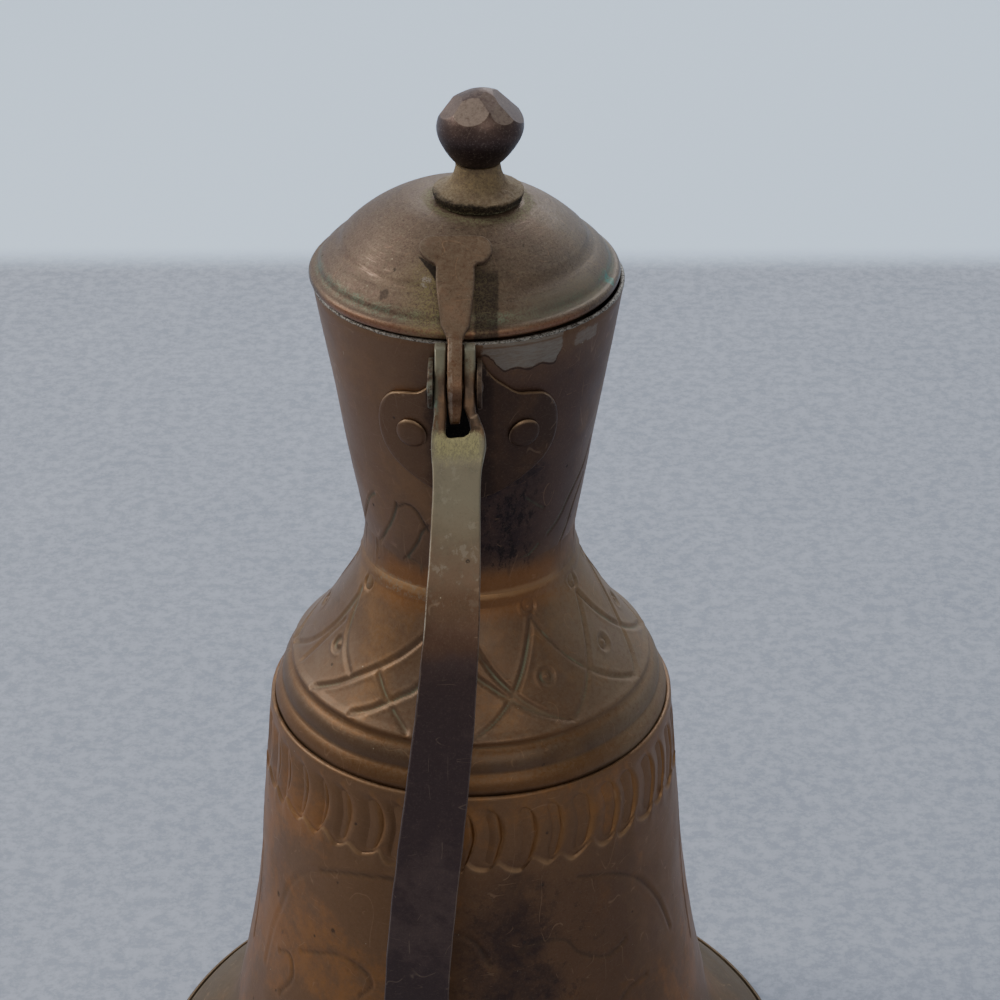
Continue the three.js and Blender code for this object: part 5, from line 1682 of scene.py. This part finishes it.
@dataclass
class Lid:
    """The domed lid with its collar, the strap on it, and the tongue on the pin."""

    middle: Point = (-1.0, 0.0)
    radius: float = 37.9
    wall: float = 1.2
    bead: float = 2.9
    dome_foot: Point = (31.0, 9.4)
    dome_rise: float = 11.4
    plateau: float = 13.8
    collar_radius: float = 33.4
    collar_top: float = 3.6
    collar_depth: float = 6.5
    strap_thick: float = 1.6
    tee_width: float = 17.0
    tee_inner: float = 20.2
    tee_outer: float = 26.6
    stem_width: float = 9.0
    stem_end: float = 6.6
    tongue_radius: float = 4.8
    tail: Point = (-62, 8.6)
    steps: int = 300

    def __post_init__(self) -> None:
        """Works out the ball that the dome is part of."""
        foot = self.dome_foot[0]
        under = (foot ** 2 - self.plateau ** 2 - self.dome_rise ** 2) / (2 * self.dome_rise)
        self.ball = math.hypot(foot, under)
        self.below = under - self.dome_foot[1]

    def dome_height(self, radius: float) -> float:
        """The height of the dome above the rim at a radius."""
        return math.sqrt(self.ball ** 2 - max(radius, self.plateau * 0.96) ** 2) - self.below

    def dome(self, material: Material) -> None:
        """The dome, its cove and its rolled edge."""
        foot, height = self.dome_foot
        top = self.dome_height(0)
        shoulder = off((0, top), (6, 0), (8, -0.02), (10, -0.08), (12.3, -0.28), (14.2, -0.56))
        crown = [(0, top), *through([*shoulder, (16, self.dome_height(16))], 3)]
        slope = [(radius, self.dome_height(radius)) for radius in np.linspace(16.6, foot - 1.4, 30)]
        fall = off(self.dome_foot, (-0.9, 0.45), (0.2, -0.7), (1.5, -1.6), (2.9, -2.8), (4.0, -4.05))
        cove = through([*fall, *off((self.radius, self.bead), (-2.3, 1.2), (-1.7, 0.6))], 5)
        curl = self.bead / 2
        roll = [polar((self.radius - curl, GAP + curl), curl, angle) for angle in range(84, -75, -12)]
        inner = self.collar_radius + GAP
        under = [(inner, GAP), (inner, self.collar_top + GAP), (foot - 0.6, height - 2.1)]
        under += [(radius, self.dome_height(radius) - self.wall) for radius in np.linspace(foot - 2, 14, 12)]
        under += [(0, top - self.wall)]
        profile = [*crown, *slope, *cove, *roll, *under]
        piece = Piece("domed_lid")
        piece.turn(off((0, LAYOUT.rim), *profile), self.steps, closed=False, middle=self.middle)
        piece.dent(19, 0.12)
        piece.finish(material, Body.LID, Slot.LID, "lid_dome", crease=60)

    def collar(self, material: Material) -> None:
        """The ring inside the lid's edge."""
        outer, wall, rim = self.collar_radius, self.wall, LAYOUT.rim
        top, low = rim + self.collar_top, rim - self.collar_depth
        foot = off((outer, low), (0, 1.5), (-0.4, 0.2), (-wall * 0.6, 0), (-wall, 0.3))
        profile = [(outer, top), *foot, (outer - wall, top)]
        piece = Piece("lid_ring")
        piece.turn(profile, 160, closed=True, middle=self.middle)
        piece.finish(material, Body.LID, Slot.LID, "lid_collar")

    def side_line(self) -> list[Point]:
        """The underside of the strap as (reach, height above the rim), out to the pin."""
        foot, height = self.dome_foot
        inner, outer, edge = self.tee_inner, self.tee_outer, (self.radius, self.bead)
        lift = lambda reach: 0.35 + 0.5 * smooth_share(reach, inner, outer)
        seat = [(reach, self.dome_height(reach) + lift(reach)) for reach in np.linspace(inner, outer, 5)]
        middle = off(between(self.dome_foot, edge, 0.52, 0.52), (0, 2.0))
        stops = [(foot - 0.4, height + 1.6), *middle, *off(edge, (-0.5, 1.5), (1.2, 0.1), (3.0, -1.8))]
        return spaced(through([*seat, *stops], 5), 0.8)

    def tee(self) -> Piece:
        """The strap's T-shaped head and its stem, made flat and then laid over the dome."""
        line = self.side_line()
        lengths = [0.0, *np.cumsum(np.linalg.norm(np.diff(np.array(line), axis=0), axis=1))]
        length_at = lambda reach: float(np.interp(reach, [p[0] for p in line], lengths))
        lobe = (self.tee_outer - self.tee_inner) / 2
        head = length_at(self.tee_outer)
        across = self.tee_width / 2 - lobe
        around = [(across + lobe * math.cos(turn), head / 2 - head / 2 * math.sin(turn))
                  for turn in map(math.radians, range(80, -81, -16))]
        half = self.stem_width / 2
        end, thin = self.stem_end / 2, TONGUE / 2
        taper = ((half, 29.5), (mix(half, end, 0.22), 32.5), (mix(half, end, 0.6), 35.5), (end, 38),
                 (mix(end, thin, 0.7), 39.6))
        right = [(across, 0), *around, (across, head), (half + 0.6, head + 0.1), (half, head + 0.7),
                 *[(width, length_at(reach)) for width, reach in taper], (thin, lengths[-1])]
        outline = [*right, *[(-x, y) for x, y in reversed(right)]]
        piece = Piece("lid_strap_with_tongue")
        piece.slab(outline, 0, self.strap_thick)
        piece.soften(0.4, 3, 50)
        piece.slice(1, np.arange(0.7, lengths[-1], 0.9))
        piece.slice(0, (-6, -4, -2, 0, 2, 4, 6))
        under, over = line, beside(line, 1.0)

        def laid(place: Vector) -> Vector:
            """A point of the flat strap laid over the dome."""
            low = [np.interp(place.y, lengths, [p[axis] for p in under]) for axis in (0, 1)]
            high = [np.interp(place.y, lengths, [p[axis] for p in over]) for axis in (0, 1)]
            reach = low[0] + (high[0] - low[0]) * place.z
            lifted = 0.9 * smooth_share(-place.x, half, self.tee_width / 2) * smooth_share(place.y, 0, head)
            height = low[1] + (high[1] - low[1]) * place.z + lifted
            return Vector((place.x + LAYOUT.pivot.x, -reach, LAYOUT.rim + height))

        piece.move(laid)
        return piece

    def tongue(self) -> Piece:
        """The tongue: a knuckle round the pin with a tail, and the neck up to the strap."""
        rim, lean, reach = LAYOUT.rim, *self.tail
        around = lambda angle, radius: polar((-LAYOUT.pivot.y, LAYOUT.pivot.z), radius, angle)
        top = through([(self.radius + 0.4, rim + 4.3), (self.radius + 2.7, rim + 3.3), around(97, 8.2),
                       around(62, 5.4), around(30, 4.8)], 5)
        front = [around(angle, self.tongue_radius) for angle in (15, 0, -15, -30)]
        tail = [around(lean + turn, reach * share) for turn, share in (
            (14, 0.86), (8, 0.97), (0, 1), (-8, 0.98), (-14, 0.88))]
        back = [around(angle, self.tongue_radius) for angle in (-100, -125, -150, -180)]
        neck = [around(152, 6.9), (self.radius + 0.7, rim + 1.6), (self.radius - 0.1, rim + 3.4)]
        piece = Piece("tongue")
        piece.slab([*top, *front, *tail, *back, *neck], -TONGUE / 2, TONGUE / 2)
        piece.soften(0.5, 3, 50)
        low, full = LAYOUT.pivot.z - self.tail[1], LAYOUT.pivot.z - 2.5

        def narrowed(place: Vector) -> Vector:
            """A point stood up across the pin, with the tail drawn in towards its end."""
            share = 1 - 0.42 * smooth_share(place.y, full, low)
            return Vector((LAYOUT.pivot.x + place.z * share, -place.x, place.y))

        piece.slice(1, np.arange(low + 0.6, full, 0.8))
        piece.move(narrowed)
        return piece

    def strap(self, material: Material) -> None:
        """The strap with its tongue."""
        piece = self.tee()
        merge(piece, self.tongue())
        piece.dent(7, 0.1)
        piece.finish(material, Body.LID, Slot.LID, "lid_strap")

    def build(self, metal: Material, strap: Material) -> None:
        """Makes the lid's own pieces."""
        self.dome(metal)
        self.collar(metal)
        self.strap(strap)


@dataclass
class Finial:
    """The coved skirt, the knob with its cut facets, and the washer inside."""

    shift: Point = (2.4, -2.5)
    skirt_radius: float = 11.0
    skirt_height: float = 9.45
    waist: float = 5.3
    bulb_radius: float = 10.4
    bulb_height: float = 17.95
    lean: float = 1.1
    shank: float = 2.5
    dome_wall: float = 1.2
    washer_thick: float = 1.2
    washer_radius: float = 6.5
    tail_radius: float = 4.2
    facets: tuple[tuple[float, float, float], ...] = (
        (-21, 51, 0.87), (41, 44, 0.915), (20, 64, 0.885), (88, 47, 0.80), (-74, 46, 0.895),
        (-106, 32, 0.93), (-140, 44, 0.87), (180, 47, 0.88), (136, 42, 0.87))

    @property
    def washer_top(self) -> float:
        """The height of the washer's upper face, inside the lid."""
        return LAYOUT.lid_top - self.dome_wall - GAP

    def skirt(self, material: Material) -> None:
        """The coved skirt, over a dark side wall."""
        base, top = LAYOUT.lid_top + GAP, LAYOUT.lid_top + GAP + self.skirt_height
        r, waist = self.skirt_radius, self.waist
        sweep = ((0.72, 3.0), (0.42, 3.9), (0.22, 5.1), (0.1, 6.5), (0.02, 8.0))
        cove = through([(r - 0.45, base + 2.5), *[(mix(waist, r, out), base + up) for out, up in sweep],
                        (waist, top - 0.4), (waist + 0.2, top)], 6)
        bore = self.shank + GAP
        wall = off((r, base), (-0.7, 0), (-0.5, 0.25), (-0.3, 1.2), (-0.05, 1.8), (0, 2.1), (-0.15, 2.4))
        profile = [(bore, base), *wall, *cove, (bore, top)]
        piece = Piece("knob_skirt")
        piece.turn(profile, 160, closed=True, middle=self.shift)
        piece.dent(5, 0.16)
        piece.dent(1.2, 0.1)
        piece.finish(material, Body.LID, Slot.KNOB, "finial_base")

    def knob(self, material: Material) -> None:
        """The knob with its filed facets, and its shank."""
        foot = LAYOUT.lid_top + 2 * GAP + self.skirt_height
        r, tall = self.bulb_radius, self.bulb_height
        shares = [(0.61, 0.04), (0.75, 0.14), (0.88, 0.26), (0.96, 0.36), (1.0, 0.46), (0.985, 0.56),
                  (0.93, 0.67), (0.83, 0.765), (0.68, 0.85), (0.5, 0.905), (0.3, 0.954), (0.12, 0.992),
                  (0.0, 1.004)]
        bulb = through([(self.waist + 0.1, foot), *[(r * out, foot + tall * up) for out, up in shares]], 5)
        piece = Piece("faceted_knob")
        piece.turn([(0, foot), *bulb], 96, closed=False)
        middle = foot + tall * 0.46
        for azimuth, tilt, distance in self.facets:
            self.facet(piece, azimuth, tilt, middle, r * distance)
        piece.soften(0.95, 4, 6)
        piece.move(lambda place: Vector((
            place.x + self.lean * max(place.z - foot, 0) / tall + self.shift[0],
            place.y + self.shift[1], place.z)))
        tail = Piece("shank")
        low, wide = self.washer_top - self.washer_thick - GAP, self.tail_radius
        tail.turn([(0, low - 1), (wide - 1.1, low - 0.8), (wide, low), (self.shank, low),
                   (self.shank, foot + 0.5), (0, foot + 0.5)], 32, closed=False, middle=self.shift)
        merge(piece, tail)
        piece.finish(material, Body.LID, Slot.DARK, "finial_knob", crease=50)

    @staticmethod
    def facet(piece: Piece, azimuth: float, tilt: float, middle: float, distance: float) -> None:
        """Cuts one flat facet off the knob.

        Args:
            piece: The knob.
            azimuth: The side that the facet faces.
            tilt: How far it faces up, in degrees.
            middle: Height of the knob's widest place.
            distance: How far the facet lies from the middle.
        """
        turn, rise = math.radians(azimuth), math.radians(tilt)
        normal = Vector((math.sin(turn) * math.cos(rise), -math.cos(turn) * math.cos(rise), math.sin(rise)))
        edges = piece.cut(Vector((0, 0, middle)) + normal * distance, normal, clear=True)
        bmesh.ops.contextual_create(piece.mesh, geom=edges)

    def washer(self, material: Material) -> None:
        """The washer inside the lid."""
        top, low = self.washer_top, self.washer_top - self.washer_thick
        bore, outer = self.shank + GAP, self.washer_radius
        profile = [(bore, top), (bore, low), (outer - 0.3, low), (outer, low + 0.3), (outer, top)]
        piece = Piece("inner_washer")
        piece.turn(profile, 48, closed=True, middle=self.shift)
        piece.finish(material, Body.LID, Slot.KNOB, "finial_washer")

    def build(self, skirt: Material, knob: Material) -> None:
        """Makes the skirt, the knob and the washer."""
        self.skirt(skirt)
        self.knob(knob)
        self.washer(skirt)


# Studio


@dataclass
class Studio:
    """The camera, the pale floor and the lights."""

    place: Vector = field(default_factory=lambda: Vector((0.0076, -0.6297, 0.5461)))
    tilt: float = 60.57
    lens: float = 102.46
    sensor: float = 36.0
    floor_edge: float = 0.56

    def camera(self) -> None:
        """The camera at the photograph's viewing angle."""
        data = bpy.data.cameras.new("camera")
        data.lens, data.sensor_width = self.lens, self.sensor
        camera = bpy.data.objects.new("camera", data)
        camera.location = self.place
        camera.rotation_euler = Euler((math.radians(self.tilt), 0, 0))
        bpy.context.scene.collection.objects.link(camera)
        bpy.context.scene.camera = camera

    def floor(self) -> None:
        """A grey table top that turns pale past its far edge."""
        shader = Shader("table_top")
        far = shader.y.rise((self.floor_edge - 0.012) / MM, (self.floor_edge + 0.02) / MM)
        cloth = shader.grain(5, 5, 0.8).rise(0.4, 0.6) * 0.6 + shader.grain(40, 3) * 0.4
        near = shader.blend(cloth, rgb(148, 155, 170), rgb(182, 188, 202))
        shader.give("Base Color", shader.blend(far, near, rgb(224, 240, 255)))
        shader.give("Emission Color", shader.blend(far, (0, 0, 0), (0.06, 0.11, 0.2)))
        shader.give("Emission Strength", 1.0)
        shader.give("Roughness", 0.9)
        mesh = bmesh.new()
        bmesh.ops.create_grid(mesh, x_segments=1, y_segments=1, size=4)
        data = bpy.data.meshes.new("floor")
        mesh.to_mesh(data)
        mesh.free()
        data.materials.append(shader.material)
        floor = bpy.data.objects.new("floor", data)
        bpy.context.scene.collection.objects.link(floor)

    def light(self, name: str, place: Rgb, size: float, power: float, tint: Rgb) -> None:
        """A soft square light that looks at the jug."""
        data = bpy.data.lights.new(name, "AREA")
        data.shape, data.size, data.energy, data.color = "SQUARE", size, power, tint
        lamp = bpy.data.objects.new(name, data)
        lamp.location = place
        aim = Vector((0, 0, 0.15)) - Vector(place)
        lamp.rotation_euler = aim.to_track_quat("-Z", "Y").to_euler()
        bpy.context.scene.collection.objects.link(lamp)

    def world(self) -> None:
        """A pale sky that is darker towards the viewer."""
        world = bpy.data.worlds.new("studio")
        bpy.context.scene.world = world
        world.use_nodes = True
        tree = world.node_tree
        back = tree.nodes["Background"]
        coordinates = tree.nodes.new("ShaderNodeTexCoord")
        split = tree.nodes.new("ShaderNodeSeparateXYZ")
        ramp = tree.nodes.new("ShaderNodeValToRGB")
        tree.links.new(coordinates.outputs["Generated"], split.inputs[0])
        tree.links.new(split.outputs["Y"], ramp.inputs[0])
        first, last = ramp.color_ramp.elements
        first.position, first.color = 0.0, (0.24, 0.235, 0.23, 1)
        last.position, last.color = 0.75, (0.65, 0.74, 0.87, 1)
        tree.links.new(ramp.outputs[0], back.inputs[0])
        back.inputs[1].default_value = 1.0

    def build(self) -> None:
        """Sets up camera, floor and light."""
        self.camera()
        self.floor()
        self.light("key", (-1.1, 0.25, 1.05), 0.5, 10, (1.0, 0.96, 0.9))
        self.light("window", (0.3, 1.2, 1.1), 0.9, 9, (0.95, 0.97, 1.0))
        self.light("fill", (0.2, -1.2, 1.0), 0.9, 4, (1.0, 0.97, 0.93))
        self.world()


def main() -> None:
    """Builds the studio and the jug, piece by piece."""
    logging.basicConfig(level=logging.INFO, format="%(message)s")
    Studio().build()
    copper = UpperMetal(
        name="shoulder_copper", glow=rgb(134, 100, 68), middle=rgb(114, 87, 66), dark=rgb(78, 60, 48),
        verdigris=rgb(122, 130, 106), verdigris_amount=0.9).build()
    bell = BodyMetal(
        name="body_copper", glow=rgb(152, 106, 64), middle=rgb(126, 94, 66), dark_share=0.35,
        scratch_amount=0.35, pit_share=0.35, verdigris_amount=0.0).build()
    turned = TurnedMetal(
        name="turned_lid_copper", glow=rgb(118, 93, 77), middle=rgb(109, 90, 77), dark=rgb(90, 75, 65),
        dust_amount=0.4, verdigris_amount=0.3, scratch_amount=0.3, relief=0.03, wear=0.3,
        roughness=0.5, grit=0.55, fleck_share=0.16).build()
    strap_copper = TongueMetal(
        name="lid_strap_copper", glow=rgb(138, 108, 86), middle=rgb(122, 97, 78), dark=rgb(96, 77, 62),
        dust_amount=0.5, scratch_amount=0.5, patch=16, verdigris_amount=0.0, wear=0.3, grit=0.4,
        fleck_share=0.16).build()
    chocolate = AgedMetal(
        name="chocolate_patina", glow=rgb(104, 84, 76), middle=rgb(82, 66, 62), dark=rgb(56, 44, 44),
        worn=rgb(140, 120, 104), dust_amount=0.3, patch=14, pit_share=0.3, wear=0.3, roughness=0.42,
        relief=0.08, grit=0.3).build()
    knob = KnobMetal(
        name="knob_patina", glow=rgb(104, 84, 76), middle=rgb(84, 67, 62), dark=rgb(58, 45, 44),
        worn=rgb(140, 120, 104), dust=rgb(178, 162, 148), dust_amount=0.2, patch=10, pit_share=0.3,
        wear=0.25, relief=0.08, grit=0.2, fleck_share=0.02).build()
    plate = PlateMetal(
        name="plate_patina", glow=rgb(120, 88, 62), middle=rgb(98, 72, 54), dark=rgb(70, 52, 44),
        worn=rgb(156, 130, 104), dust_amount=0.35, patch=18, dark_share=0.5, wear=0.4).build()
    olive = SkirtMetal(
        name="olive_brass", glow=rgb(140, 121, 94), middle=rgb(124, 107, 83), dark=rgb(92, 78, 60),
        dust=rgb(146, 132, 106), dust_amount=0.4, patch=9, roughness=0.6, metallic=0.35, relief=0.2,
        wear=0.2).build()
    strap = StrapMetal(
        name="strap_metal", glow=rgb(94, 76, 70), middle=rgb(76, 60, 58), dark=rgb(58, 46, 46),
        worn=rgb(150, 130, 108), dust_amount=0.12, scratch_amount=0.3, wear=0.5, verdigris_amount=0.0).build()
    vessel = Vessel()
    vessel.build(copper, bell)
    Hinge(vessel).build(plate, strap)
    Handle(vessel).build(strap, chocolate)
    Lid().build(turned, strap_copper)
    Finial().build(olive, knob)


if __name__ == "__main__":
    main()
